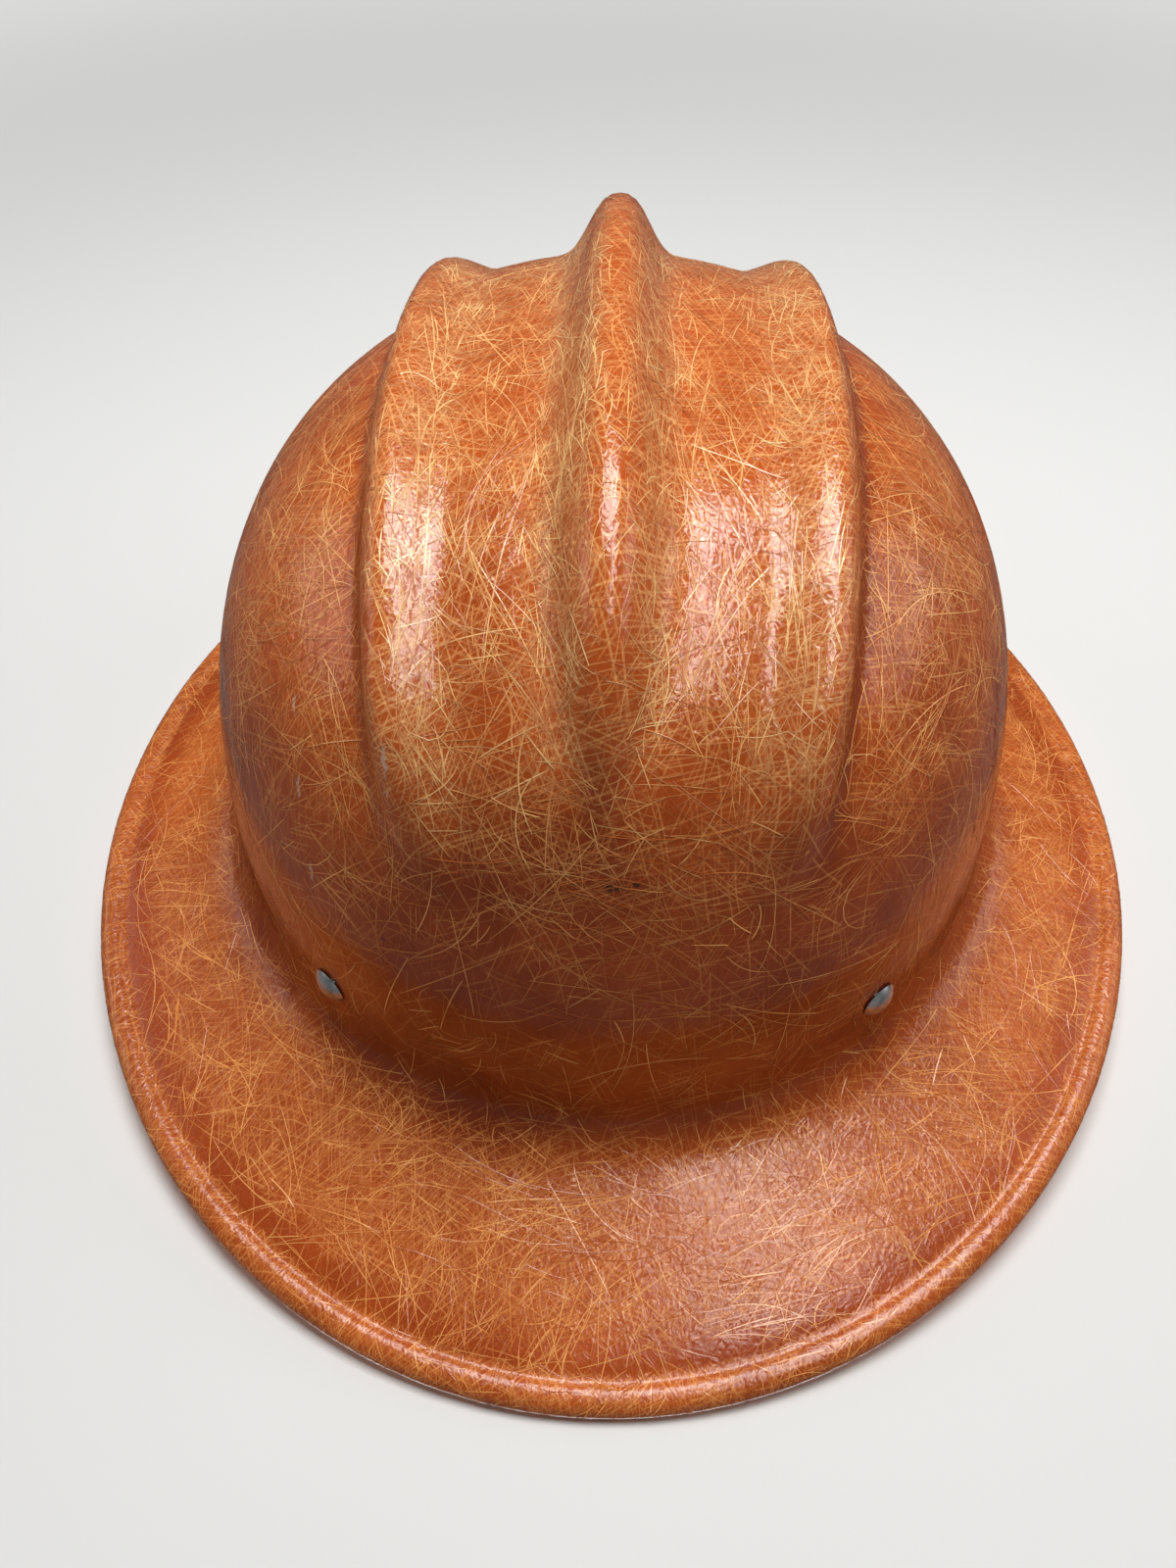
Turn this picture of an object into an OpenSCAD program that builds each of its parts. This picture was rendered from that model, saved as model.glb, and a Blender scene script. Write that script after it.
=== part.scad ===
// Full brim hard hat: a ribbed glass fibre shell over a riveted web suspension
// with a leather lined headband. Millimetres, +Z up, the front of the brim at -Y.

/* [Brim] */
// Width of the brim, side to side
brim_w = 286; // [276:1:300]
// Length of the brim, front to back
brim_l = 329; // [315:1:345]
// How far in front of the middle the brim is widest
brim_wide_y = 6.5; // [0:0.5:10]
// Drop of the front edge below the base of the crown
brim_drop_front = 20; // [14:0.5:24]
// Drop of the rear edge below the base of the crown
brim_drop_rear = 20.5; // [14:0.5:24]
// Drop of the side edges below the base of the crown
brim_drop_side = 8; // [4:0.5:12]
// Width of the rounded bead along the edge
bead_w = 7.6; // [6:0.1:9]
// Height of the bead, top to bottom
bead_h = 6.6; // [5:0.1:8]
// How far the bead stands above the brim
bead_rise = 1.3; // [0.6:0.1:2]
// Depth of the flats that the bead stands on
foot_flat = 0.5; // [0.3:0.1:0.8]

/* [Crown] */
// Width of the crown at its base
crown_w = 207; // [203:1:215]
// Length of the crown at its base
crown_l = 228; // [222:1:240]
// How far the middle of the crown lies behind the middle of the brim
crown_y = 7; // [2:0.5:12]
// Height of the dome above the base of the crown, between the ribs
dome_h = 125; // [118:1:135]
// Squareness of the dome seen from the side, where 2 is an ellipse
dome_n = 2.6; // [2.2:0.05:3]
// Thickness of the moulded shell
wall = 2.6; // [2:0.1:3.2]
// Size of the fillet between the crown and the brim
fillet = 13; // [9:0.5:16]

/* [Ribs] */
// Height of the middle rib
mid_rib_h = 13.5; // [8:0.5:18]
// Half width of the middle rib
mid_rib_w = 8.5; // [6:0.5:11]
// Height on the dome where the middle rib begins
mid_rib_z0 = 84; // [70:1:95]
// Height on the dome from which the middle rib is full
mid_rib_z1 = 118; // [105:1:122]
// Distance of each side rib's crest from the middle
side_rib_x = 42; // [38:0.5:46]
// Distance of each side rib's outer foot from the middle
side_rib_foot = 53; // [50:0.5:60]
// Height of the side ribs
side_rib_h = 9.8; // [6:0.2:12]
// Height on the dome where the side ribs begin
side_rib_z0 = 64; // [50:1:75]
// Height on the dome from which the side ribs are full
side_rib_z1 = 101; // [90:1:110]
// Distance of the valley inside each side rib from the middle
valley_x = 31; // [26:0.5:34]
// How far the panels between the ribs are raised
valley_h = 3.6; // [2:0.2:6]
// How much the ribs draw together towards the front and rear
rib_bow = 0.4; // [0:0.05:0.8]

/* [Rivets] */
// Distance of the front and rear rivets from the middle
rivet_x = 64; // [56:0.5:70]
// Height of the rivets above the base of the crown
rivet_z = 17.5; // [17:0.5:20]
// Diameter of the domed rivet heads
rivet_head_d = 9.5; // [8:0.1:11]
// Height of the rivet heads
rivet_head_h = 2.2; // [1.6:0.1:3]
// Diameter of the rivet shanks
rivet_d = 4; // [3.2:0.1:4.8]
// Diameter of the clinched rivet tails
rivet_tail_d = 6.6; // [6:0.1:8]
// Height of the clinched rivet tails
rivet_tail_h = 1.2; // [0.8:0.1:1.6]
// Diameter of the washers
washer_d = 11; // [10:0.5:12]
// Thickness of the washers
washer_t = 0.8; // [0.6:0.1:1.2]

/* [Cradle] */
// Width of the web straps
strap_w = 19; // [16:0.5:20]
// Thickness of the web straps
strap_t = 1.6; // [1.2:0.1:2]
// Length of strap above and below each rivet that lies on the wall
strap_tab = 9; // [8:0.5:10]
// Height of the crown lace above the base of the crown
lace_z = 88; // [82:1:92]
// Distance of the lace from the middle of the crown
lace_reach = 28; // [26:0.5:32]
// Diameter of the crown lace
lace_d = 3.2; // [2.6:0.1:3.6]
// Radius of the lace's turns between the straps
lace_turn_r = 7; // [5:0.5:9]
// How far the lace comes straight out of each front loop
lace_straight = 1; // [0:0.5:2]
// Length of each metal lace tip
lace_tip_l = 12; // [8:1:16]

/* [Hangers] */
// Width of the hanger strips
hanger_w = 8; // [6:0.5:9]
// Thickness of the hanger strips
hanger_t = 1.2; // [1:0.1:1.5]
// Height of the upturned hook of each hanger
hook_h = 13; // [11:0.5:14]
// Height of the loops that hang on the hooks
loop_h = 8; // [6:0.5:9]
// Half length of the loops along the headband
loop_half = 9.5; // [9:0.5:11]
// Thickness of the loops
loop_t = 1.2; // [1:0.1:1.4]

/* [Headband] */
// Outside width of the headband
band_w = 164; // [158:1:170]
// Outside length of the headband
band_l = 202; // [196:1:204]
// Radius of the headband's front and rear arcs
band_end_r = 72; // [70:0.5:74]
// Thickness of the headband
band_t = 1.2; // [1:0.1:1.6]
// Height of the headband
band_h = 30; // [28:0.5:32]
// How far the headband reaches below the base of the crown
band_below = 6; // [4:0.5:8]
// Height of the headband's narrow rear ends
band_end_h = 20; // [18:0.5:22]
// Half of the opening between the rear ends, in degrees
band_gap_angle = 13; // [12:0.5:14]
// Thickness of the leather sweatband
leather_t = 1.8; // [1.4:0.1:2.2]
// Height of the leather sweatband
leather_h = 33; // [31:0.5:35]
// Half of the opening at the back of the sweatband, in degrees
leather_gap_angle = 6; // [4:0.5:10]
// Place of the eyelets along the band, from a middle to the loop at the corner
eyelet_part = 0.48; // [0.3:0.01:0.7]
// Diameter of the sweatband eyelets' flanges
eyelet_d = 6.4; // [6:0.1:7]
// Diameter of the eyelets' barrels
eyelet_barrel_d = 4; // [3.6:0.1:4.4]
// Bore of the eyelets
eyelet_bore_d = 3; // [2.6:0.1:3.2]
// Thickness of the eyelets' flanges
eyelet_t = 0.5; // [0.4:0.1:0.7]

/* [Nape strap] */
// Height of the nape strap
nape_h = 18; // [16:0.5:20]
// Thickness of the nape strap
nape_t = 1.6; // [1.2:0.1:2]
// Size of the clipped corners of the nape strap
nape_clip = 6; // [3:0.5:8]
// Half of the angle that the nape strap spans
nape_half_angle = 32; // [31:0.5:32.5]
// How far the nape strap slides each way, in degrees
nape_travel_angle = 7.5; // [6:0.5:7.5]
// Angle of the studs from the middle of the back
stud_angle = 19.5; // [19:0.5:20]
// Diameter of the studs
stud_d = 4; // [3.4:0.1:4.2]
// Diameter of the studs' flat inner flanges
stud_flange_d = 9; // [8:0.5:10]
// Thickness of the studs' inner flanges
stud_flange_t = 0.6; // [0.5:0.1:0.8]
// Diameter of the knurled nuts
nut_d = 10; // [9:0.5:11]
// Thickness of the nuts
nut_t = 2.8; // [2.4:0.1:3.2]

/* [Fits] */
// Gap between pieces that move past each other
run_gap = 0.3; // [0.25:0.05:0.4]
// Gap between pieces that lie against each other
lay_gap = 0.1; // [0.05:0.05:0.15]
// Room between the cradle straps and the curved wall behind them
strap_room = 0.4; // [0.2:0.1:0.6]
// Radial clearance of the nuts on their studs
nut_fit = 0.05; // [0.03:0.01:0.1]

/* [Hidden] */

shell_colour = "#a5532a";
metal_colour = "#c4c8ca";
brass_colour = "#b99a55";
web_colour = "#cfc4a6";
lace_colour = "#e2dccb";
leather_colour = "#9a6a3c";
fibre_colour = "#4a3527";

crown_hw = crown_w / 2;
crown_hl = crown_l / 2;
brim_hw = brim_w / 2;
brim_front_l = brim_l / 2 - brim_wide_y;
brim_rear_l = brim_l / 2 + brim_wide_y;

// A smooth step from 0 to 1
function clamp01(t) = max(0, min(1, t));
function ease(t) = let (c = clamp01(t)) c * c * (3 - 2 * c);
function unit(v) = v / max(norm(v), 1e-9);
function mix(p, q, t) = p * (1 - t) + q * t;

// The dome is a superellipse turned over an elliptical plan. Radius and height
// run from 0 to 1, and dome_r gives the radius at a height above the base.
function dome_height(r) = pow(max(0, 1 - pow(r, dome_n)), 1 / dome_n);
function dome_r(z) = dome_height(z / dome_h);
crown_r0 = dome_r(fillet);

// The crown's grid is a square bent onto the oval plan, with the columns
// running from front to back along the ribs
grid_bend = 0.25;
function on_disc(a, b) = [a * sqrt(1 - grid_bend * b * b), b * sqrt(1 - (1 - grid_bend) * a * a)];

// Height of the ribs and panels above the dome, at a point of the dome
function rib_rise(p) =
    let (bow = sqrt(max(0.2, 1 - rib_bow * pow(p[1] / crown_hl, 2))),
         x = abs(p[0]) / bow,
         side_fade = ease((p[2] - side_rib_z0) / (side_rib_z1 - side_rib_z0)),
         mid_fade = ease((p[2] - mid_rib_z0) / (mid_rib_z1 - mid_rib_z0)),
         side = x > side_rib_x
             ? side_rib_h * ease((side_rib_foot - x) / (side_rib_foot - side_rib_x))
             : valley_h + (side_rib_h - valley_h) * ease((x - valley_x) / (side_rib_x - valley_x)),
         reach = mid_rib_w * (0.3 + 0.7 * mid_fade))
    side * side_fade + mid_rib_h * mid_fade * exp(-pow(x / reach, 2.6));

function dome_point(a, b) =
    let (d = on_disc(a, b), far = min(1, norm(d)), r = crown_r0 * sin(90 * far),
         dir = far < 1e-6 ? [0, 0] : d / far)
    [crown_hw * r * dir[0], crown_hl * r * dir[1], dome_h * dome_height(r)];

function dome_normal(p) =
    let (r = sqrt(pow(p[0] / crown_hw, 2) + pow(p[1] / crown_hl, 2)),
         f = pow(max(r, 1e-6), dome_n - 2))
    unit([f * p[0] / pow(crown_hw, 2), f * p[1] / pow(crown_hl, 2),
          pow(p[2] / dome_h, dome_n - 1) / dome_h]);

// A point of the crown, sunk below its outer face by a depth
function crown_point(a, b, depth) =
    let (p = dome_point(a, b)) p + dome_normal(p) * (rib_rise(p) - depth);

// One section of the shell from the crown out round the bead and back, at a
// place given by the cosine and sine of its angle on the oval
function base_corner(c, s) = [crown_hw * c, crown_hl * s, 0];
function brim_edge(c, s) =
    let (length = s < 0 ? brim_front_l : brim_rear_l,
         drop = s < 0 ? brim_drop_front : brim_drop_rear)
    [brim_hw * c, length * s - brim_wide_y - crown_y,
     -(brim_drop_side + (drop - brim_drop_side) * s * s)];
function brim_way(c, s) = unit(brim_edge(c, s) - base_corner(c, s));
function brim_up(way) = let (h = norm([way[0], way[1]])) [-way[2] * way[0] / h, -way[2] * way[1] / h, h];

fillet_steps = [0.2, 0.45, 0.7, 1];
function fillet_point(c, s, t, depth) =
    let (top = [crown_hw * crown_r0 * c, crown_hl * crown_r0 * s, fillet],
         corner = base_corner(c, s),
         way = brim_way(c, s),
         low = corner + way * fillet,
         up = unit(mix(dome_normal(top), brim_up(way), t)))
    top * (1 - t) * (1 - t) + corner * 2 * t * (1 - t) + low * t * t - up * depth;

// The bead's section: distance in from the edge and height above the brim
bead_angles = [145, 108, 75, 40, 0, -40, -75, -108, -145];
bead_section = concat(
    [[bead_w + 4, 0], [bead_w + 0.9, -0.3]],
    [for (g = bead_angles) [bead_w / 2 * (1 - cos(g)), bead_rise - bead_h / 2 + bead_h / 2 * sin(g)]],
    [[bead_w + 1, -wall]]);
function section(c, s) =
    let (way = brim_way(c, s), up = brim_up(way), edge = brim_edge(c, s))
    concat([for (t = fillet_steps) fillet_point(c, s, t, 0)],
           [for (q = bead_section) edge - way * q[0] + up * q[1]],
           [for (i = [len(fillet_steps) - 1:-1:0]) fillet_point(c, s, fillet_steps[i], wall)]);

// The base of the crown lies this high when the bead's flats stand at zero
low_front = min([for (p = section(0, -1)) p[2]]);
low_rear = min([for (p = section(0, 1)) p[2]]);
base_z = -min(low_front, low_rear) - foot_flat;

// Columns of the grid, closer together on the ribs, as distances from the
// middle at the top of the crown
column_x = concat(
    [for (f = [0, 0.35, 0.7, 1, 1.4]) f * mid_rib_w],
    [(1.4 * mid_rib_w + valley_x) / 2],
    [for (i = [0:3]) valley_x + (side_rib_x - valley_x) * i / 3],
    [for (i = [1:4]) side_rib_x + (side_rib_foot + 1 - side_rib_x) * i / 4]);
inner_a = [for (x = column_x) asin(x / crown_hw) / 90];
last_a = inner_a[len(inner_a) - 1];
outer_columns = 8;
half_a = concat(inner_a, [for (i = [1:outer_columns]) last_a + (1 - last_a) * i / outer_columns]);
cols = concat([for (i = [len(half_a) - 1:-1:1]) -half_a[i]], half_a);
row_count = 24;
rows = [for (i = [0:row_count]) -1 + 2 * i / row_count];
na = len(cols);
nb = len(rows);

// The edge of the grid, once round from the front left corner
rim_ij = concat([for (i = [0:na - 2]) [i, 0]],
                [for (j = [0:nb - 2]) [na - 1, j]],
                [for (i = [na - 1:-1:1]) [i, nb - 1]],
                [for (j = [nb - 1:-1:1]) [0, j]]);
rim_n = len(rim_ij);

module shell_skin() {
    outer = [for (a = cols) for (b = rows) crown_point(a, b, 0)];
    inner = [for (a = cols) for (b = rows) crown_point(a, b, wall)];
    rings = [for (ij = rim_ij) let (d = on_disc(cols[ij[0]], rows[ij[1]])) section(d[0], d[1])];
    ring_n = len(rings[0]);
    inner_0 = len(outer);
    ring_0 = inner_0 + len(inner);
    function grid_at(i, j) = i * nb + j;
    function ring_at(k, q) = q < 0 ? grid_at(rim_ij[k][0], rim_ij[k][1])
        : q >= ring_n ? inner_0 + grid_at(rim_ij[k][0], rim_ij[k][1])
        : ring_0 + k * ring_n + q;
    grid_faces = [for (i = [0:na - 2]) for (j = [0:nb - 2])
        let (p = grid_at(i, j), q = grid_at(i + 1, j), r = grid_at(i + 1, j + 1), s = grid_at(i, j + 1))
        each (i < (na - 1) / 2) == (j < (nb - 1) / 2)
            ? [[p, s, r], [p, r, q]]
            : [[p, s, q], [s, r, q]]];
    inner_faces = [for (f = grid_faces) [f[0] + inner_0, f[2] + inner_0, f[1] + inner_0]];
    ring_faces = [for (k = [0:rim_n - 1]) let (n = (k + 1) % rim_n) for (q = [-1:ring_n - 1])
        let (a = ring_at(k, q), b = ring_at(n, q), c = ring_at(n, q + 1), d = ring_at(k, q + 1))
        each [[a, b, c], [a, c, d]]];
    raw = concat(outer, inner, [for (r = rings) each r]);
    points = [for (p = raw) [p[0], p[1] + crown_y, max(0, p[2] + base_z)]];
    polyhedron(points, concat(grid_faces, inner_faces, ring_faces), convexity = 12);
}

// Plan place and outward direction of a rivet: sx and sy are -1, 0 or 1
function rivet_cs(sx, sy) =
    let (c = sy == 0 ? 1 : rivet_x / crown_hw) [sx * c, sy * sqrt(1 - c * c)];
function rivet_dir(sx, sy) =
    let (cs = rivet_cs(sx, sy)) unit([cs[0] / crown_hw, cs[1] / crown_hl]);
function wall_plan(sx, sy, z) =
    let (cs = rivet_cs(sx, sy), r = dome_r(z)) [crown_hw * r * cs[0], crown_hl * r * cs[1]];
function sag(half, radius) = half * half / (2 * radius);

// The head's seat, and the distances from it inwards along the rivet
head_z = rivet_z - rivet_head_d / 2;
strap_top_z = rivet_z + strap_tab;
function rivet_seat(sx, sy) = wall_plan(sx, sy, head_z) + rivet_dir(sx, sy) * lay_gap;
strap_in = wall + crown_hl * (dome_r(head_z) - dome_r(strap_top_z)) + strap_room;
hanger_in = strap_in + strap_t + sag(hanger_w / 2, crown_hw) + lay_gap;
washer_in = hanger_in + hanger_t + lay_gap / 2;
tail_in = washer_in + washer_t + lay_gap / 2;

corners = [[-1, -1], [1, -1], [-1, 1], [1, 1]];
sides = [[-1, 0], [1, 0]];
rivet_places = concat(corners, sides);
rivet_bore_d = rivet_d + 2 * lay_gap;

// Local frame of a rivet: z outwards from the seat of its head, y up
module at_rivet(sx, sy) {
    seat = rivet_seat(sx, sy);
    dir = rivet_dir(sx, sy);
    translate([seat[0], seat[1] + crown_y, rivet_z + base_z])
        rotate([90, 0, atan2(dir[1], dir[0]) + 90]) children();
}

module shell() {
    color(shell_colour) difference() {
        shell_skin();
        for (s = rivet_places)
            at_rivet(s[0], s[1])
                translate([0, 0, -strap_in]) cylinder(d = rivet_bore_d, h = 2 * strap_in, $fn = 32);
    }
}

module shell_rivets() {
    head_r = (pow(rivet_head_d / 2, 2) + pow(rivet_head_h, 2)) / (2 * rivet_head_h);
    head_angle = asin(rivet_head_d / 2 / head_r);
    tail_end = -tail_in - rivet_tail_h;
    color(metal_colour) for (s = rivet_places)
        at_rivet(s[0], s[1])
            rotate_extrude($fn = 48) polygon(concat(
                [[0, tail_end], [rivet_tail_d / 2 - rivet_tail_h / 2, tail_end],
                 [rivet_tail_d / 2, tail_end + rivet_tail_h / 2], [rivet_tail_d / 2, -tail_in],
                 [rivet_d / 2, -tail_in], [rivet_d / 2, 0]],
                [for (i = [0:8]) let (g = head_angle * (1 - i / 8))
                    [head_r * sin(g), rivet_head_h - head_r * (1 - cos(g))]]));
}

module rivet_washers() {
    color(metal_colour) for (s = rivet_places)
        at_rivet(s[0], s[1]) translate([0, 0, -washer_in - washer_t]) difference() {
            cylinder(d = washer_d, h = washer_t, $fn = 40);
            translate([0, 0, -washer_t]) cylinder(d = rivet_bore_d, h = 3 * washer_t, $fn = 32);
        }
}

// A flat band of web swept along a route. Each stop is its middle, its outward
// normal, its width direction and how much its section is bowed.
across = [-1, -0.5, 0, 0.5, 1];
module ribbon(stops, width, thick, bow_r) {
    across_n = len(across);
    ring = 2 * across_n;
    function bowed(s, v) = sag(v * width / 2, bow_r) * s[3];
    points = [for (s = stops) each concat(
        [for (v = across) s[0] + s[2] * v * width / 2 + s[1] * (thick / 2 - bowed(s, v))],
        [for (i = [across_n - 1:-1:0]) let (v = across[i])
            s[0] + s[2] * v * width / 2 - s[1] * (thick / 2 + bowed(s, v))])];
    last = (len(stops) - 1) * ring;
    faces = concat(
        [for (k = [0:len(stops) - 2]) for (i = [0:ring - 1]) let (j = (i + 1) % ring, o = k * ring)
            each [[o + i, o + ring + i, o + ring + j], [o + i, o + ring + j, o + j]]],
        [for (i = [0:across_n - 2]) each [[i, i + 1, ring - 2 - i], [i, ring - 2 - i, ring - 1 - i]]],
        [for (i = [0:across_n - 2]) each
            [[last + i, last + ring - 2 - i, last + i + 1],
             [last + i, last + ring - 1 - i, last + ring - 2 - i]]]);
    polyhedron(points, faces, convexity = 6);
}

// Each cradle strap lies on the wall, runs over the head on a quarter of an
// ellipse, and curls round the lace
curl_r = lace_d / 2 + 2 * lay_gap + strap_t / 2;
curl_steps = 10;
curl_turn = 290;
arc_steps = 12;
function strap_seat(sx, sy) = rivet_seat(sx, sy) - rivet_dir(sx, sy) * (strap_in + strap_t / 2);
function strap_end_angle(sx, sy) = acos(lace_reach / norm(strap_seat(sx, sy)));
function strap_arc_h(sx, sy) = (lace_z + curl_r - strap_top_z) / sin(strap_end_angle(sx, sy));
function arc_normal(reach, high, g) = atan2(reach * sin(g), high * cos(g));
function strap_end_normal(sx, sy) =
    arc_normal(norm(strap_seat(sx, sy)), strap_arc_h(sx, sy), strap_end_angle(sx, sy));

module cradle_strap(sx, sy) {
    dir = rivet_dir(sx, sy);
    seat = strap_seat(sx, sy);
    reach = norm(seat);
    to_wall = seat / reach;
    end_angle = strap_end_angle(sx, sy);
    arc_h = strap_arc_h(sx, sy);
    end_normal = strap_end_normal(sx, sy);
    function stop(rho, z, g, t, bow) =
        let (d = unit(mix(dir, to_wall, t)))
        [[to_wall[0] * rho, to_wall[1] * rho + crown_y, z + base_z],
         [d[0] * cos(g), d[1] * cos(g), sin(g)], [-d[1], d[0], 0], bow];
    tab = [for (z = [rivet_z - strap_tab, rivet_z, strap_top_z]) stop(reach, z, 0, 0, 1)];
    over = [for (i = [1:arc_steps]) let (t = i / arc_steps, g = end_angle * t)
        stop(reach * cos(g), strap_top_z + arc_h * sin(g), arc_normal(reach, arc_h, g), t,
             1 - ease((t - 0.6) / 0.4))];
    curl = [for (i = [1:curl_steps]) let (g = end_normal + curl_turn * i / curl_steps)
        stop(lace_reach + curl_r * (cos(g) - cos(end_normal)),
             lace_z + curl_r + curl_r * (sin(g) - sin(end_normal)), g, 1, 0)];
    color(web_colour) difference() {
        ribbon(concat(tab, over, curl), strap_w, strap_t, crown_hw);
        at_rivet(sx, sy) translate([0, 0, -2 * hanger_in])
            cylinder(d = rivet_bore_d, h = 2 * hanger_in, $fn = 32);
    }
}
module strap_front_left() { cradle_strap(-1, -1); }
module strap_front_right() { cradle_strap(1, -1); }
module strap_side_left() { cradle_strap(-1, 0); }
module strap_side_right() { cradle_strap(1, 0); }
module strap_rear_left() { cradle_strap(-1, 1); }
module strap_rear_right() { cradle_strap(1, 1); }

// A round cord swept along a route, its rings turned about a reference way
module tube(route, radius, sides, ref, closed) {
    n = len(route);
    function way(i) = unit(closed ? route[(i + 1) % n] - route[(i + n - 1) % n]
        : route[min(i + 1, n - 1)] - route[max(i - 1, 0)]);
    points = [for (i = [0:n - 1]) let (w = way(i), s = unit(cross(w, ref)), u = cross(s, w))
        for (k = [0:sides - 1]) let (g = 360 * k / sides)
            route[i] + radius * (s * cos(g) + u * sin(g))];
    spans = closed ? n : n - 1;
    walls = [for (i = [0:spans - 1]) for (k = [0:sides - 1])
        let (a = i * sides, b = ((i + 1) % n) * sides, l = (k + 1) % sides)
            each [[a + k, b + l, b + k], [a + k, a + l, b + l]]];
    caps = closed ? [] : concat(
        [for (k = [1:sides - 2]) [0, k + 1, k]],
        [for (k = [1:sides - 2]) let (o = (n - 1) * sides) [o, o + k, o + k + 1]]);
    polyhedron(points, concat(walls, caps), convexity = 8);
}

// The lace runs straight through each strap's loop and turns between them
lace_sides = 8;
side_normal = strap_end_normal(1, 0);
lace_rho = lace_reach - curl_r * cos(side_normal);
lace_height = lace_z + curl_r * (1 - sin(side_normal));
corner_way = strap_seat(1, 1);
corner_angle = atan2(corner_way[1], corner_way[0]);
lace_angles = [-corner_angle, 0, corner_angle, 180 - corner_angle, 180, 180 + corner_angle];
knot_y = -lace_rho / sin(corner_angle);
function at_lace(x, y, z) = [x, y + crown_y, z + lace_height + base_z];
function lace_bend(k) =
    let (a = lace_angles[k], b = lace_angles[k + 1],
         far = (lace_rho - lace_turn_r) / cos((b - a) / 2), mid = (a + b) / 2)
    [for (i = [0:4]) let (g = a + (b - a) * i / 4)
        at_lace(far * cos(mid) + lace_turn_r * cos(g), far * sin(mid) + lace_turn_r * sin(g), 0)];
function lace_entry(s) =
    let (a = lace_angles[0], along = -strap_w / 2 - lace_straight)
    at_lace(s * (lace_rho * cos(a) - along * sin(a)), lace_rho * sin(a) + along * cos(a), 0);
// One free end, from the loop to its tip, measured from the knot in lace diameters
lace_end = [[1.1, 0.5, 0], [0.65, -0.4, 0], [0.56, -1.25, 0], [0.56, -2.8, 0], [1.1, -4.4, -0.5],
            [1.9, -6.25, -1.2], [2.5, -8.1, -2.1], [3.1, -11.2, -3.6]];
function lace_tail(s) = [for (p = lace_end * lace_d) at_lace(s * p[0], knot_y + p[1], p[2])];
function reversed(v) = [for (i = [len(v) - 1:-1:0]) v[i]];
lace_route = concat(reversed(lace_tail(1)), [lace_entry(1)],
                    [for (k = [0:4]) each lace_bend(k)], [lace_entry(-1)], lace_tail(-1));
knot_wraps = [-1.5 * lace_d, -2.5 * lace_d - lay_gap];
module knot_wrap(y) {
    wrap_r = lace_d + 2 * lay_gap;
    cord_x = lace_end[2][0] * lace_d;
    tube([for (side = [1, -1]) for (i = [0:6]) let (g = side * (90 - 30 * i))
            at_lace(side * cord_x + side * wrap_r * cos(90 - 30 * i), knot_y + y,
                    wrap_r * sin(g))],
         lace_d / 2, lace_sides, [0, 1, 0], true);
}
module crown_lace() {
    color(lace_colour) {
        tube(lace_route, lace_d / 2, lace_sides, [0, 0, 1], false);
        for (y = knot_wraps) knot_wrap(y);
    }
}

module lace_tips() {
    skin = 0.4;
    color(metal_colour) for (s = [-1, 1]) {
        tail = lace_tail(s);
        tip = tail[len(tail) - 1];
        way = unit(tip - tail[len(tail) - 2]);
        translate(tip + way * skin)
            rotate([0, 180 - acos(way[2]), atan2(-way[1], -way[0])]) difference() {
                cylinder(d = lace_d + 2 * lay_gap + 2 * skin, h = lace_tip_l, $fn = 24);
                translate([0, 0, -skin])
                    cylinder(d = lace_d + 2 * lay_gap, h = lace_tip_l + 2 * skin, $fn = 24);
            }
    }
}

// The headband's outline is an oval of four arcs, each tangent to the next
end_c = band_l / 2 - band_end_r;
side_r = (pow(band_w / 2, 2) + end_c * end_c - band_end_r * band_end_r) / (2 * (band_w / 2 - band_end_r));
side_c = side_r - band_w / 2;
join_angle = atan2(end_c, side_c);
end_steps = 26;
side_steps = 16;
function arc_points(c, r, from, to, n) =
    [for (i = [0:n - 1]) let (g = from + (to - from) * i / n) c + r * [cos(g), sin(g)]];
function oval(off) = concat(
    arc_points([0, -end_c], band_end_r + off, 180 + join_angle, 360 - join_angle, end_steps),
    arc_points([-side_c, 0], side_r + off, -join_angle, join_angle, side_steps),
    arc_points([0, end_c], band_end_r + off, join_angle, 180 - join_angle, end_steps),
    arc_points([side_c, 0], side_r + off, 180 - join_angle, 180 + join_angle, side_steps));
band_z = base_z - band_below;
band_mid_z = band_z + band_h / 2;
leather_out = band_t + lay_gap;

// Local frame on the band's outer face: z outwards, y up, at an angle on the
// arc whose centre and radius are given
module at_band(c, r, angle, z) {
    translate([c[0] + r * cos(angle), c[1] + r * sin(angle) + crown_y, z])
        rotate([90, 0, angle + 90]) children();
}
rear_c = [0, end_c];
front_c = [0, -end_c];
module at_rear(angle, z) { at_band(rear_c, band_end_r, 90 + angle, z) children(); }

// Where each hanger meets the band: the distance from the rivet's seat, and
// the angle of the band there on its own arc
function reach_to(sx, sy, c, r) =
    let (p = rivet_seat(sx, sy) - c, d = rivet_dir(sx, sy), b = p * d)
    b - sqrt(max(0, b * b - p * p + r * r));
function foot_on(sx, sy, c, r) = rivet_seat(sx, sy) - rivet_dir(sx, sy) * reach_to(sx, sy, c, r) - c;
function on_end(sx, sy) =
    let (p = foot_on(sx, sy, [0, sy * end_c], band_end_r))
    sy != 0 && atan2(abs(p[1]), abs(p[0])) >= join_angle;
function hook_centre(sx, sy) = on_end(sx, sy) ? [0, sy * end_c] : [-sx * side_c, 0];
function hook_radius(sx, sy) = on_end(sx, sy) ? band_end_r : side_r;
function hook_reach(sx, sy) = reach_to(sx, sy, hook_centre(sx, sy), hook_radius(sx, sy));
function hook_foot(sx, sy) = foot_on(sx, sy, hook_centre(sx, sy), hook_radius(sx, sy));
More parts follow.
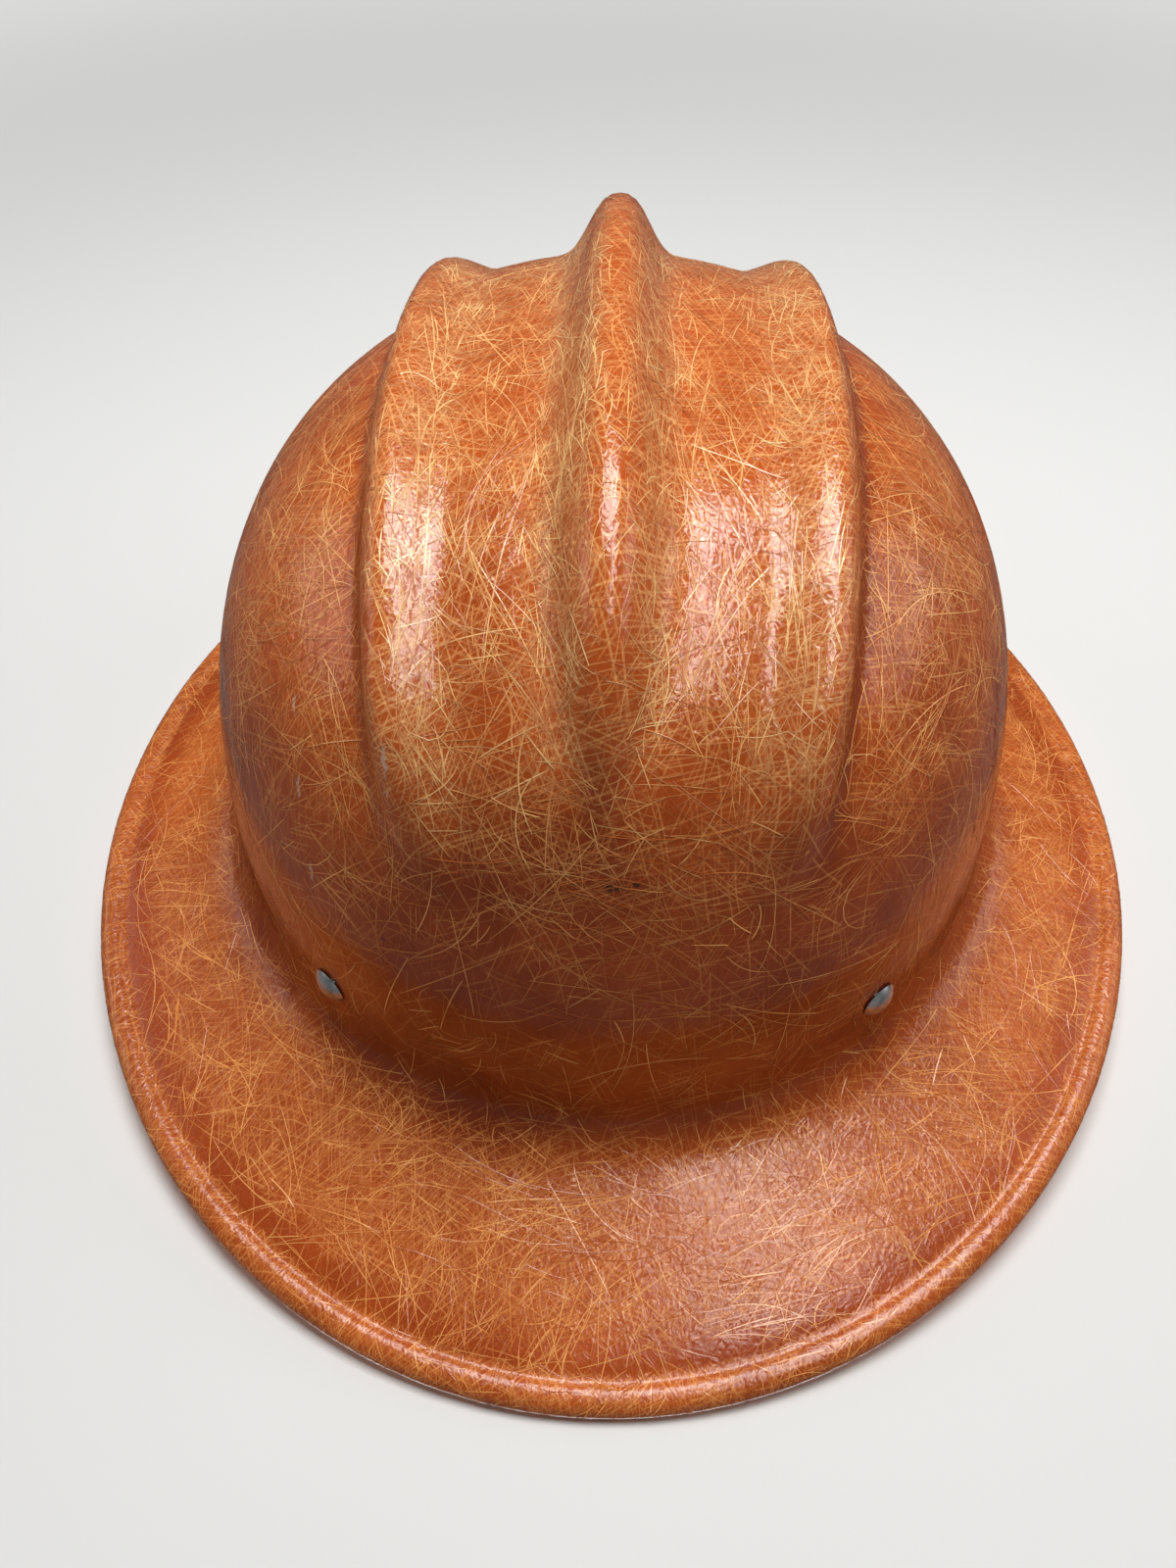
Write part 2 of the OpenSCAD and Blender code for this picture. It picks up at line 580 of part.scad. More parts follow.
function hook_angle(sx, sy) = let (p = hook_foot(sx, sy)) atan2(p[1], p[0]);
function hook_tilt(sx, sy) = acos(min(1, unit(hook_foot(sx, sy)) * rivet_dir(sx, sy)));
function hook_room(sx, sy) = hanger_w / 2 * tan(hook_tilt(sx, sy));

bend_r = 2;
bend_steps = [0, 22.5, 45, 67.5, 90];
module hanger(sx, sy) {
    leg = -hanger_in - hanger_t / 2;
    hook = -hook_reach(sx, sy) + run_gap + hook_room(sx, sy) + hanger_t / 2;
    run = -strap_tab;
    path = concat(
        [[[leg, strap_tab - bend_r], [1, 0]]],
        [for (g = bend_steps) let (n = [cos(-g), sin(-g)]) [[leg - bend_r, run + bend_r] + bend_r * n, n]],
        [for (g = bend_steps) let (n = [cos(-90 - g), sin(-90 - g)])
            [[hook + bend_r, run + bend_r] + bend_r * n, n]],
        [[[hook, run + hook_h], [-1, 0]]]);
    at_rivet(sx, sy) difference() {
        rotate([0, -90, 0]) linear_extrude(hanger_w, center = true) polygon(concat(
            [for (p = path) p[0] + p[1] * hanger_t / 2],
            [for (p = reversed(path)) p[0] - p[1] * hanger_t / 2]));
        translate([0, 0, leg - hanger_t]) cylinder(d = rivet_bore_d, h = 2 * hanger_t, $fn = 32);
    }
}
module corner_hangers() {
    color(metal_colour) for (s = corners) hanger(s[0], s[1]);
}
module side_hangers() {
    color(metal_colour) for (s = sides) hanger(s[0], s[1]);
}

loop_z = base_z + rivet_z - strap_tab + bend_r + run_gap;
loop_side_gap = 1.2;
module hook_loop(sx, sy) {
    c = hook_centre(sx, sy);
    r = hook_radius(sx, sy) + lay_gap;
    out = 2 * run_gap + hanger_t + 2 * hook_room(sx, sy) + lay_gap;
    mid = hook_angle(sx, sy);
    foot = loop_half / r * 180 / PI;
    inner = (hanger_w / 2 + loop_side_gap) / r * 180 / PI;
    outer = (hanger_w / 2 + loop_side_gap + loop_t) / r * 180 / PI;
    function at(off, g) = c + (r + off) * [cos(mid + g), sin(mid + g)];
    translate([0, crown_y, loop_z]) linear_extrude(loop_h) difference() {
        polygon(concat(
            [for (g = [-foot, -outer, -inner]) at(0, g)],
            [for (g = [-inner, -inner / 3, inner / 3, inner]) at(out, g)],
            [for (g = [inner, outer, foot]) at(0, g)],
            [for (g = [foot, outer]) at(loop_t, g)],
            [for (g = [outer, outer / 3, -outer / 3, -outer]) at(out + loop_t, g)],
            [for (g = [-outer, -foot]) at(loop_t, g)]));
        polygon(oval(lay_gap / 2));
    }
}
module hook_loops() {
    color(metal_colour) for (s = rivet_places) hook_loop(s[0], s[1]);
}

// The sweatband is held to the headband by six eyelets, each between two of
// the loops. Places are measured along the band from the middle of a side.
arc_degree = PI / 180;
join_far = side_r * join_angle * arc_degree;
end_far = join_far + band_end_r * (90 - join_angle) * arc_degree;
function corner_far(sy) =
    let (a = abs(hook_angle(1, sy)))
    on_end(1, sy) ? join_far + band_end_r * (a - join_angle) * arc_degree : side_r * a * arc_degree;
function band_place(sx, sy, far) =
    let (side = far < join_far,
         a = side ? far / side_r / arc_degree
             : join_angle + (far - join_far) / band_end_r / arc_degree)
    [side ? [-sx * side_c, 0] : [0, sy * end_c], side ? side_r : band_end_r,
     sx > 0 ? sy * a : 180 - sy * a];
eyelet_z = band_mid_z + 0.3 * band_h;
eyelet_places = concat(
    [for (sx = [-1, 1]) band_place(sx, -1, end_far - eyelet_part * (end_far - corner_far(-1)))],
    [for (sx = [-1, 1]) for (sy = [-1, 1]) band_place(sx, sy, eyelet_part * corner_far(sy))]);
module eyelet_holes() {
    deep = 4 * (band_t + leather_t);
    for (e = eyelet_places) at_band(e[0], e[1], e[2], eyelet_z)
        translate([0, 0, -deep / 2]) cylinder(d = eyelet_barrel_d + 2 * lay_gap, h = deep, $fn = 24);
}

// A tall wedge over part of the rear arc, between two angles from its middle
module rear_wedge(from, to, h, mid_z) {
    translate([0, crown_y, mid_z - h / 2]) linear_extrude(h)
        polygon([rear_c, for (g = [to, from]) rear_c + band_l * [-sin(g), cos(g)]]);
}

narrow_half = nape_half_angle + nape_travel_angle + 1;
module headband() {
    trim = (band_h - band_end_h) / 2;
    deep = 6 * band_t;
    color(fibre_colour) difference() {
        translate([0, crown_y, band_z]) linear_extrude(band_h) difference() {
            polygon(oval(0));
            polygon(oval(-band_t));
        }
        rear_wedge(-band_gap_angle, band_gap_angle, 2 * band_h, band_mid_z);
        for (z = [band_z, band_z + band_h])
            rear_wedge(-narrow_half, narrow_half, 2 * trim, z);
        eyelet_holes();
        for (s = [-1, 1]) at_rear(s * stud_angle, band_mid_z)
            translate([0, 0, -deep / 2]) cylinder(d = stud_d + 2 * lay_gap, h = deep, $fn = 32);
    }
}

stud_in = band_t + lay_gap + sag(stud_flange_d / 2, band_end_r - band_t);
module sweatband() {
    color(leather_colour) difference() {
        translate([0, crown_y, band_mid_z - leather_h / 2]) linear_extrude(leather_h) difference() {
            polygon(oval(-leather_out));
            polygon(oval(-leather_out - leather_t));
        }
        rear_wedge(-leather_gap_angle, leather_gap_angle, 2 * leather_h, band_mid_z);
        eyelet_holes();
        for (s = [-1, 1]) at_rear(s * stud_angle, band_mid_z)
            translate([0, 0, -stud_in - stud_flange_t - lay_gap])
                cylinder(d = stud_flange_d + 4 * lay_gap, h = band_t + leather_t, $fn = 32);
    }
}

module sweatband_eyelets() {
    bore_r = eyelet_bore_d / 2;
    barrel_r = eyelet_barrel_d / 2;
    in_face = -leather_out - leather_t - sag(eyelet_d / 2, band_end_r - leather_out - leather_t) - lay_gap;
    color(brass_colour) for (e = eyelet_places) at_band(e[0], e[1], e[2], eyelet_z)
        rotate_extrude($fn = 32) polygon([
            [bore_r, in_face - eyelet_t], [eyelet_d / 2, in_face - eyelet_t], [eyelet_d / 2, in_face],
            [barrel_r, in_face], [barrel_r, lay_gap], [eyelet_d / 2, lay_gap],
            [eyelet_d / 2, lay_gap + eyelet_t], [bore_r, lay_gap + eyelet_t]]);
}

// The nape strap slides round the rear arc on two studs
nape_in = run_gap;
nape_out = run_gap + nape_t;
module nape_strap() {
    slot_r = stud_d / 2 + run_gap;
    slot_run = (band_end_r + nape_out) * sin(nape_travel_angle) + run_gap;
    deep = 6 * nape_t;
    steps = 32;
    ends = [for (i = [0:steps]) 90 - nape_half_angle + 2 * nape_half_angle * i / steps];
    color(leather_colour) difference() {
        translate([0, end_c + crown_y, band_mid_z - nape_h / 2]) linear_extrude(nape_h)
            polygon([for (g = ends) (band_end_r + nape_in) * [cos(g), sin(g)],
                     for (g = reversed(ends)) (band_end_r + nape_out) * [cos(g), sin(g)]]);
        for (s = [-1, 1]) {
            at_rear(s * stud_angle, band_mid_z) linear_extrude(deep, center = true)
                polygon(concat(arc_points([slot_run, 0], slot_r, -90, 90, 12),
                               arc_points([-slot_run, 0], slot_r, 90, 270, 12)));
            for (v = [-1, 1]) at_rear(s * nape_half_angle, band_mid_z + v * nape_h / 2)
                rotate([0, 0, 45]) cube([nape_clip, nape_clip, deep], center = true);
        }
    }
}

nut_in = nape_out + run_gap;
module nape_studs() {
    end = nut_in + nut_t + stud_flange_t;
    color(brass_colour) for (s = [-1, 1]) at_rear(s * stud_angle, band_mid_z)
        rotate_extrude($fn = 40) polygon([
            [0, -stud_in - stud_flange_t], [stud_flange_d / 2, -stud_in - stud_flange_t],
            [stud_flange_d / 2, -stud_in], [stud_d / 2, -stud_in], [stud_d / 2, end - 0.4],
            [stud_d / 2 - 0.4, end], [0, end]]);
}

knurls = 24;
knurl_depth = 0.35;
module nape_nut(s) {
    color(brass_colour) at_rear(s * stud_angle, band_mid_z) translate([0, 0, nut_in]) difference() {
        linear_extrude(nut_t) polygon([for (i = [0:2 * knurls - 1]) let (g = 180 / knurls * i)
            (nut_d / 2 - (i % 2) * knurl_depth) * [cos(g), sin(g)]]);
        translate([0, 0, -nut_t]) cylinder(d = stud_d + 2 * nut_fit, h = 3 * nut_t, $fn = 40);
    }
}
module nape_nut_left() { nape_nut(1); }
module nape_nut_right() { nape_nut(-1); }

shell();
shell_rivets();
rivet_washers();
strap_front_left();
strap_front_right();
strap_side_left();
strap_side_right();
strap_rear_left();
strap_rear_right();
crown_lace();
lace_tips();
corner_hangers();
side_hangers();
headband();
hook_loops();
sweatband();
sweatband_eyelets();
nape_strap();
nape_studs();
nape_nut_left();
nape_nut_right();
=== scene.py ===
"""Dresses the solids of a full brim hard hat: the moulded glass fibre shell, the web
cradle, the headband that hangs in it, and the plain studio they stand in."""

import math
import random
from functools import reduce

import bmesh
import bpy
from bpy.props import FloatProperty, FloatVectorProperty, IntProperty, PointerProperty
from mathutils import Matrix, Vector, noise
from mathutils.bvhtree import BVHTree


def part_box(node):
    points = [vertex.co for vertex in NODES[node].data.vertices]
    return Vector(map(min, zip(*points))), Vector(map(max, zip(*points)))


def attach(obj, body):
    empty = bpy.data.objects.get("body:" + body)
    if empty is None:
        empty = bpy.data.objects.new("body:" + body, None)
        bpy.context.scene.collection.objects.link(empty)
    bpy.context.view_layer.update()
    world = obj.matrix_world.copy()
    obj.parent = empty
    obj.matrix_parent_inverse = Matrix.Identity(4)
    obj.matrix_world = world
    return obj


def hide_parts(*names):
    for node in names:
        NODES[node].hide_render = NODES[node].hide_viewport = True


bl_info = {
    "name": "Full brim hard hat",
    "version": (1, 0, 0),
    "blender": (4, 5, 0),
    "location": "3D View > Sidebar > Hard hat",
    "description": "Moulded fibre shell, web cradle, headband and stage of a hard hat",
    "category": "Object",
}

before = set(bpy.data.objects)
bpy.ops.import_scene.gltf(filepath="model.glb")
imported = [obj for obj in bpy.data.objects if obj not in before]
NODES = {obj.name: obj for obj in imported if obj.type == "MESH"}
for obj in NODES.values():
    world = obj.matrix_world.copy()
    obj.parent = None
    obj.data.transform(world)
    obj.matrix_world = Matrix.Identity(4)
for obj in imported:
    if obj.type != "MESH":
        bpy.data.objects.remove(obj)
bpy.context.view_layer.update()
RIVETS_Z = sum(p.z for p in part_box("shell_rivets")) / 2
MM = 0.001


# Properties: sizes are written in millimetres, angles in degrees


def length(name, description, default):
    return FloatProperty(name=name, description=description, default=default * MM,
                         unit="LENGTH", precision=4)


def plain(name, description, default):
    return FloatProperty(name=name, description=description, default=default)


def angle(name, description, default):
    return FloatProperty(name=name, description=description, subtype="ANGLE",
                         default=math.radians(default))


def count(name, description, default):
    return IntProperty(name=name, description=description, default=default, min=1)


def colour(name, description, default):
    """A colour property, from its screen values of 0 to 255"""
    linear = [((c / 255 + 0.055) / 1.055) ** 2.4 if c > 10 else c / 255 / 12.92 for c in default]
    return FloatVectorProperty(name=name, description=description, subtype="COLOR", size=3,
                               min=0, max=1, default=linear)


class ShellSizes(bpy.types.PropertyGroup):
    brim_w: length("Brim width", "Width of the brim, side to side", 286)
    brim_l: length("Brim length", "Length of the brim, front to back", 329)
    brim_wide_y: length("Widest place", "How far in front of the middle the brim is widest", 6.5)
    drop_front: length("Front drop", "Drop of the front edge below the base of the crown", 20)
    drop_rear: length("Rear drop", "Drop of the rear edge below the base of the crown", 20.5)
    drop_side: length("Side drop", "Drop of the side edges below the base of the crown", 8)
    bead_w: length("Bead width", "Width of the rounded bead along the edge", 7.6)
    bead_h: length("Bead height", "Height of the bead, top to bottom", 6.6)
    bead_rise: length("Bead rise", "How far the bead stands above the brim", 1.3)
    crown_w: length("Crown width", "Width of the crown at its base", 207)
    crown_l: length("Crown length", "Length of the crown at its base", 228)
    crown_y: length("Crown place", "How far the crown lies behind the middle of the brim", 7)
    dome_h: length("Dome height", "Height of the dome above the base of the crown", 125)
    dome_n: plain("Squareness", "Squareness of the dome, where 2 is an ellipse", 2.6)
    wall: length("Wall", "Thickness of the moulded shell", 2.6)
    fillet: length("Fillet", "Size of the fillet between the crown and the brim", 13)
    mid_rib_h: length("Middle rib height", "Height of the middle rib", 13.5)
    mid_rib_w: length("Middle rib width", "Half width of the middle rib", 8.5)
    mid_rib_z0: length("Middle rib start", "Height where the middle rib begins", 84)
    mid_rib_z1: length("Middle rib full", "Height from which the middle rib is full", 118)
    side_rib_x: length("Side rib place", "Distance of the side ribs' crests from the middle", 42)
    side_rib_foot: length("Side rib foot", "Distance of the side ribs' outer feet", 53)
    side_rib_h: length("Side rib height", "Height of the side ribs", 9.8)
    side_rib_z0: length("Side rib start", "Height where the side ribs begin", 64)
    side_rib_z1: length("Side rib full", "Height from which the side ribs are full", 101)
    valley_x: length("Valley place", "Distance of the valleys inside the side ribs", 31)
    valley_h: length("Panel rise", "How far the panels between the ribs are raised", 3.6)
    rib_bow: plain("Rib bow", "How much the ribs draw together to the front and rear", 0.4)
    columns: count("Columns", "Faces across the crown", 180)
    rows: count("Rows", "Faces from the front to the rear of the crown", 120)
    crown_strands: count("Crown strands", "Strands of glass on the crown", 11000)
    brim_strands: count("Brim strands", "Strands of glass on the brim", 8600)
    inner_strands: count("Inner strands", "Strands of glass on the inside", 5000)


class CradleSizes(bpy.types.PropertyGroup):
    rivet_x: length("Rivet place", "Distance of the front and rear rivets from the middle", 64)
    rivet_z: length("Rivet height", "Height of the rivets above the base of the crown", 17.5)
    rivet_head: length("Rivet head", "Diameter of the rivet heads", 9.5)
    room: length("Room", "Room between the straps and the wall", 0.4)
    strap_w: length("Strap width", "Width of the web straps", 19)
    strap_t: length("Strap thickness", "Thickness of the web straps", 1.5)
    cad_strap_t: length("Solid strap", "Thickness of the straps' solids", 1.6)
    tab: length("Tab", "Length of strap that lies on the wall above a rivet", 9)
    lace_z: length("Lace height", "Height of the lace above the base of the crown", 88)
    lace_reach: length("Lace reach", "Distance of the lace from the middle", 28)
    lace_d: length("Lace", "Diameter of the crown lace", 3.1)
    cad_lace_d: length("Solid lace", "Diameter of the lace's solid", 3.2)
    lay_gap: length("Gap", "Gap between pieces that lie against each other", 0.1)
    sewn: length("Sewn tail", "Length of strap sewn back on itself past the lace", 15)


class BandSizes(bpy.types.PropertyGroup):
    band_w: length("Band width", "Width of the headband's oval, side to side", 164)
    band_l: length("Band length", "Length of the headband's oval, front to back", 202)
    end_r: length("End arcs", "Radius of the oval's front and rear arcs", 72)
    band_t: length("Band thickness", "Thickness of the headband", 1.2)
    leather_t: length("Leather thickness", "Thickness of the sweatband", 1.8)
    edge: length("Edge", "How far the edges of metal and fibre are rounded", 0.3)
    sweatband_edge: length("Sweatband edge", "How far the sweatband's edges are rounded", 0.5)
    nape_edge: length("Nape strap edge", "How far the nape strap's edges are rounded", 0.35)
    stitch_pitch: length("Stitch pitch", "Distance from stitch to stitch", 3.6)
    stitch_inset: length("Stitch inset", "Distance of the stitches from the leather's edges", 3)
    opening: angle("Opening", "Half of the band's opening, seen from the rear arc", 7.5)


class Colours(bpy.types.PropertyGroup):
    resin: colour("Resin", "Resin between the fibres", (180, 76, 20))
    # deep resin, and also the colour of the painted shade low on the crown and in the ribs' outer
    # creases
    resin_deep_and_shade: colour("Deep resin", "Resin where it lies thick", (134, 50, 12))
    fibre: colour("Fibre", "Glass fibres under the surface", (250, 170, 92))
    fibre_gold: colour("Gold fibre", "Crowded fibres beside the ribs", (255, 210, 142))
    web: colour("Web", "Undyed cotton web", (222, 210, 178))
    cord: colour("Cord", "Braided cotton cord", (224, 216, 194))
    thread: colour("Thread", "Sewing thread", (232, 226, 208))
    leather: colour("Leather", "Tan sweatband leather", (156, 104, 62))
    leather_dark: colour("Dark leather", "Leather in its pores and at its edges", (92, 56, 32))
    fibreboard: colour("Fibreboard", "Vulcanised fibre of the headband", (58, 44, 38))
    alloy: colour("Alloy", "Rivets, washers, hangers and loops", (214, 217, 220))
    brass: colour("Brass", "Eyelets, studs and nuts", (196, 160, 96))


class StageSettings(bpy.types.PropertyGroup):
    lens: plain("Lens", "Focal length on a 36 mm frame", 27.0)
    distance: length("Distance", "Camera to its target", 334.9)
    elevation: angle("Elevation", "Camera's height above the horizon", 50.31)
    azimuth: angle("Azimuth", "Camera's turn round the hat", 2.47)
    roll: angle("Roll", "Camera's roll", -0.67)
    target_x: length("Target X", "Target of the camera, sideways", -6.1)
    target_y: length("Target Y", "Target of the camera, front to back", -6.5)
    target_z: length("Target Z", "Target of the camera, above the floor", 25.3)
    floor: colour("Floor", "Plain pale floor", (226, 226, 224))


def sizes():
    return bpy.context.scene.hat_shell


def cradle():
    return bpy.context.scene.hat_cradle


def band():
    return bpy.context.scene.hat_band


def colours():
    return bpy.context.scene.hat_colours


# Pieces and materials in general


def ease(t):
    """From 0 to 1 with a soft start and a soft end"""
    t = min(1.0, max(0.0, t))
    return t * t * (3 - 2 * t)


def in_order(bm):
    """Puts a mesh in one order, by place, because the order that extrude and bridge leave
    changes from run to run"""
    for parts, key in ((bm.verts, lambda v: tuple(v.co)),
                       (bm.faces, lambda f: sorted(v.index for v in f.verts))):
        for i, part in enumerate(sorted(parts, key=key)):
            part.index = i
        parts.sort()


def piece(name, bm, body, material, replaces=()):
    """Makes a finished piece of a bmesh, riding on a body and standing for solids"""
    mesh = bpy.data.meshes.new(name)
    for face in bm.faces:
        face.smooth = True
    bm.to_mesh(mesh)
    bm.free()
    mesh.materials.append(material)
    obj = bpy.data.objects.new(name, mesh)
    bpy.context.scene.collection.objects.link(obj)
    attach(obj, body)
    if replaces:
        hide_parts(*replaces)
    return obj


def dress(name, material):
    """Gives a CAD node its finished material"""
    mesh = NODES[name].data
    mesh.materials.clear()
    mesh.materials.append(material)


def shade(tint, factor=1.0):
    """A colour as a socket takes it, made darker or lighter"""
    return (*[factor * x for x in tint], 1.0)


class Graph:
    """Adds shader nodes to a tree; most calls give back an output socket"""

    def __init__(self, tree):
        self.tree = tree

    def node(self, kind, **settings):
        node = self.tree.nodes.new(kind)
        for key, value in settings.items():
            setattr(node, key, value)
        return node

    def add(self, kind, *inputs, out=0, **settings):
        node = self.node(kind, **settings)
        for socket, value in zip(node.inputs, inputs):
            self.put(socket, value)
        return node.outputs[out]

    def put(self, socket, value):
        """Links a socket, or sets it to a plain value"""
        if isinstance(value, bpy.types.NodeSocket):
            self.tree.links.new(value, socket)
        elif value is not None:
            socket.default_value = value

    def place(self, kind="Object"):
        return self.add("ShaderNodeTexCoord", out=kind)

    def attribute(self, name):
        return self.add("ShaderNodeAttribute", out="Vector", attribute_name=name)

    def math(self, operation, *inputs, clamp=False):
        return self.add("ShaderNodeMath", *inputs, operation=operation, use_clamp=clamp)

    def fold(self, operation, values):
        """One value from many, two by two"""
        return reduce(lambda a, b: self.math(operation, a, b), values)

    def vector(self, operation, *inputs):
        single = operation in {"DOT_PRODUCT", "LENGTH"}
        return self.add("ShaderNodeVectorMath", *inputs, operation=operation, out=int(single))

    def split(self, vector):
        node = self.node("ShaderNodeSeparateXYZ")
        self.put(node.inputs[0], vector)
        return node.outputs

    def join(self, x, y, z=0.0):
        return self.add("ShaderNodeCombineXYZ", x, y, z)

    def step(self, value, low, high, start=0.0, end=1.0):
        """A soft step from one value to another, between low and high"""
        return self.add("ShaderNodeMapRange", value, low, high, start, end,
                        interpolation_type="SMOOTHSTEP")

    def mix(self, factor, a, b):
        """Mixes two colours"""
        node = self.node("ShaderNodeMix", data_type="RGBA")
        for i, value in ((0, factor), (6, a), (7, b)):
            self.put(node.inputs[i], value)
        return node.outputs[2]

    def noise(self, vector, scale, detail=2.0, rough=0.5, out=0, flat=False):
        return self.add("ShaderNodeTexNoise", vector, None, scale, detail, rough, out=out,
                        noise_dimensions="2D" if flat else "3D")

    def cells(self, vector, scale, **settings):
        """The outputs of a pattern of cells"""
        node = self.node("ShaderNodeTexVoronoi", **settings)
        self.put(node.inputs["Vector"], vector)
        node.inputs["Scale"].default_value = scale
        return node.outputs


class Finish(Graph):
    """The graph of a new material; what is the same all over is set on the shader itself"""

    def __init__(self, name, roughness=0.5, metallic=0.0, specular=0.5, sheen=0.0):
        self.material = bpy.data.materials.new(name)
        self.material.use_nodes = True
        super().__init__(self.material.node_tree)
        self.shader = self.tree.nodes["Principled BSDF"].inputs
        self.shader["Roughness"].default_value = roughness
        self.shader["Metallic"].default_value = metallic
        self.shader["Specular IOR Level"].default_value = specular
        self.shader["Sheen Weight"].default_value = sheen

    def colour(self, value):
        self.put(self.shader["Base Color"], value)

    def roughness(self, value):
        self.put(self.shader["Roughness"], value)

    def relief(self, height, distance):
        """Bump, its full height given as a length"""
        node = self.node("ShaderNodeBump")
        node.inputs["Strength"].default_value = 1.0
        node.inputs["Distance"].default_value = distance
        self.put(node.inputs["Height"], height)
        self.put(self.shader["Normal"], node.outputs[0])


_made = {}


def material(make, *args):
    """Makes a material once, and gives the same one afterwards"""
    key = (make.__name__, args)
    if key not in _made:
        _made[key] = make(*args)
    return _made[key]


# Shape of the shell. A place round the crown's oval is given as a cosine c and a sine s

COLUMN_PULL = 0.25          # how much the grid's columns draw together over the dome
RIB_POWER = 2.6             # squareness of the middle rib's section
RIB_NARROW = 0.3            # width that the middle rib starts with, as a share
FILLET_STEPS, BRIM_STEPS, BEAD_STEPS = 9, 7, 20
BEAD_SWEEP = math.radians(145)
# The soft groove inside the bead: how far in from the bead, and how high, in millimetres
GROOVE = ((2.6, -0.06), (1.5, -0.2), (0.6, -0.3), (-0.1, -0.26))
GROOVE_W = 4 * MM
SECTION_STEPS = 2 * (FILLET_STEPS + BRIM_STEPS) + len(GROOVE) + BEAD_STEPS + 2
OUTER_STEPS = FILLET_STEPS + BRIM_STEPS + len(GROOVE) + BEAD_STEPS
MERIDIAN_STEPS = 200


def dome_height(r):
    n = sizes().dome_n
    return max(0.0, 1 - r ** n) ** (1 / n)


def dome_r(z):
    """Share of the crown's width that the dome has left at a height"""
    return dome_height(z / sizes().dome_h)


def on_disc(a, b):
    """A point of the unit disc, from one of the square whose columns follow the ribs"""
    return Vector((a * math.sqrt(1 - COLUMN_PULL * b * b),
                   b * math.sqrt(1 - (1 - COLUMN_PULL) * a * a), 0))


def bow(p):
    """How close together the ribs lie at a point, where 1 is their full distance"""
    s = sizes()
    return math.sqrt(max(0.2, 1 - s.rib_bow * (p.y / (s.crown_l / 2)) ** 2))


def fades(p):
    """How full the side ribs and the middle rib are at a point of the dome"""
    s = sizes()
    return (ease((p.z - s.side_rib_z0) / (s.side_rib_z1 - s.side_rib_z0)),
            ease((p.z - s.mid_rib_z0) / (s.mid_rib_z1 - s.mid_rib_z0)))


def rib_rise(p):
    """How far the ribs and the panels between them stand above the dome"""
    s = sizes()
    x = abs(p.x) / bow(p)
    side_fade, mid_fade = fades(p)
    if x > s.side_rib_x:
        side = s.side_rib_h * ease((s.side_rib_foot - x) / (s.side_rib_foot - s.side_rib_x))
    else:
        side = s.valley_h + (s.side_rib_h - s.valley_h) * ease(
            (x - s.valley_x) / (s.side_rib_x - s.valley_x))
    reach = s.mid_rib_w * (RIB_NARROW + (1 - RIB_NARROW) * mid_fade)
    return side * side_fade + s.mid_rib_h * mid_fade * math.exp(-(x / reach) ** RIB_POWER)


def fibre_crowding(p):
    """How crowded with fibres the moulding is, along the ribs. In the ribs' outer creases it is
    lowered, for fewer fibres there and for painted shade
    """
    s = sizes()
    x = abs(p.x) / bow(p)
    side_fade, mid_fade = fades(p)

    def near(place, reach):
        return math.exp(-((x - place) / (reach * MM)) ** 2)

    inner = near(0.87 * s.side_rib_x, 8) * side_fade
    left = 1.0 if p.x < 0 else 0.6
    mid = near(1.1 * s.mid_rib_w, 7) * ease(mid_fade * 2) * left
    # partly painted shade: a dark band down each side rib's outer crease, stronger on the right,
    # also fewer fibres there
    crease_shade = near(1.2 * s.side_rib_x, 3.5) * side_fade
    crease_shade *= 1.1 if p.x > 0 else 0.7
    return min(1.0, inner * 0.75 + mid + 0.25 * side_fade) - crease_shade


def dome_point(a, b):
    s = sizes()
    d = on_disc(a, b)
    far = min(1.0, d.length)
    r = dome_r(s.fillet) * math.sin(math.pi / 2 * far)
    d = d / far if far > 1e-6 else Vector()
    return Vector((s.crown_w / 2 * r * d.x, s.crown_l / 2 * r * d.y, s.dome_h * dome_height(r)))


def dome_normal(p):
    s = sizes()
    hw, hl = s.crown_w / 2, s.crown_l / 2
    r = math.hypot(p.x / hw, p.y / hl)
    f = max(r, 1e-6) ** (s.dome_n - 2)
    return Vector((f * p.x / hw ** 2, f * p.y / hl ** 2,
                   (p.z / s.dome_h) ** (s.dome_n - 1) / s.dome_h)).normalized()


def base_corner(c, s):
    """Where the crown's wall and the brim would meet without the fillet"""
    return Vector((sizes().crown_w / 2 * c, sizes().crown_l / 2 * s, 0))


def brim_edge(c, s):
    z = sizes()
    half = z.brim_l / 2 + (-z.brim_wide_y if s < 0 else z.brim_wide_y)
    drop = z.drop_front if s < 0 else z.drop_rear
    return Vector((z.brim_w / 2 * c, half * s - z.brim_wide_y - z.crown_y,
                   -(z.drop_side + (drop - z.drop_side) * s * s)))


def brim_up(way):
    """The brim's upward normal, where it slopes down a way"""
    h = math.hypot(way.x, way.y)
    return Vector((-way.z * way.x / h, -way.z * way.y / h, h))


def fillet_point(c, s, t, depth):
    """A point of the curve between crown and brim, or of its inner side at a depth"""
    z = sizes()
    r = dome_r(z.fillet)
    top = Vector((z.crown_w / 2 * r * c, z.crown_l / 2 * r * s, z.fillet))
    corner = base_corner(c, s)
    way = (brim_edge(c, s) - corner).normalized()
    low = corner + way * z.fillet
    up = (dome_normal(top) * (1 - t) + brim_up(way) * t).normalized()
    return top * (1 - t) ** 2 + corner * 2 * t * (1 - t) + low * t * t - up * depth


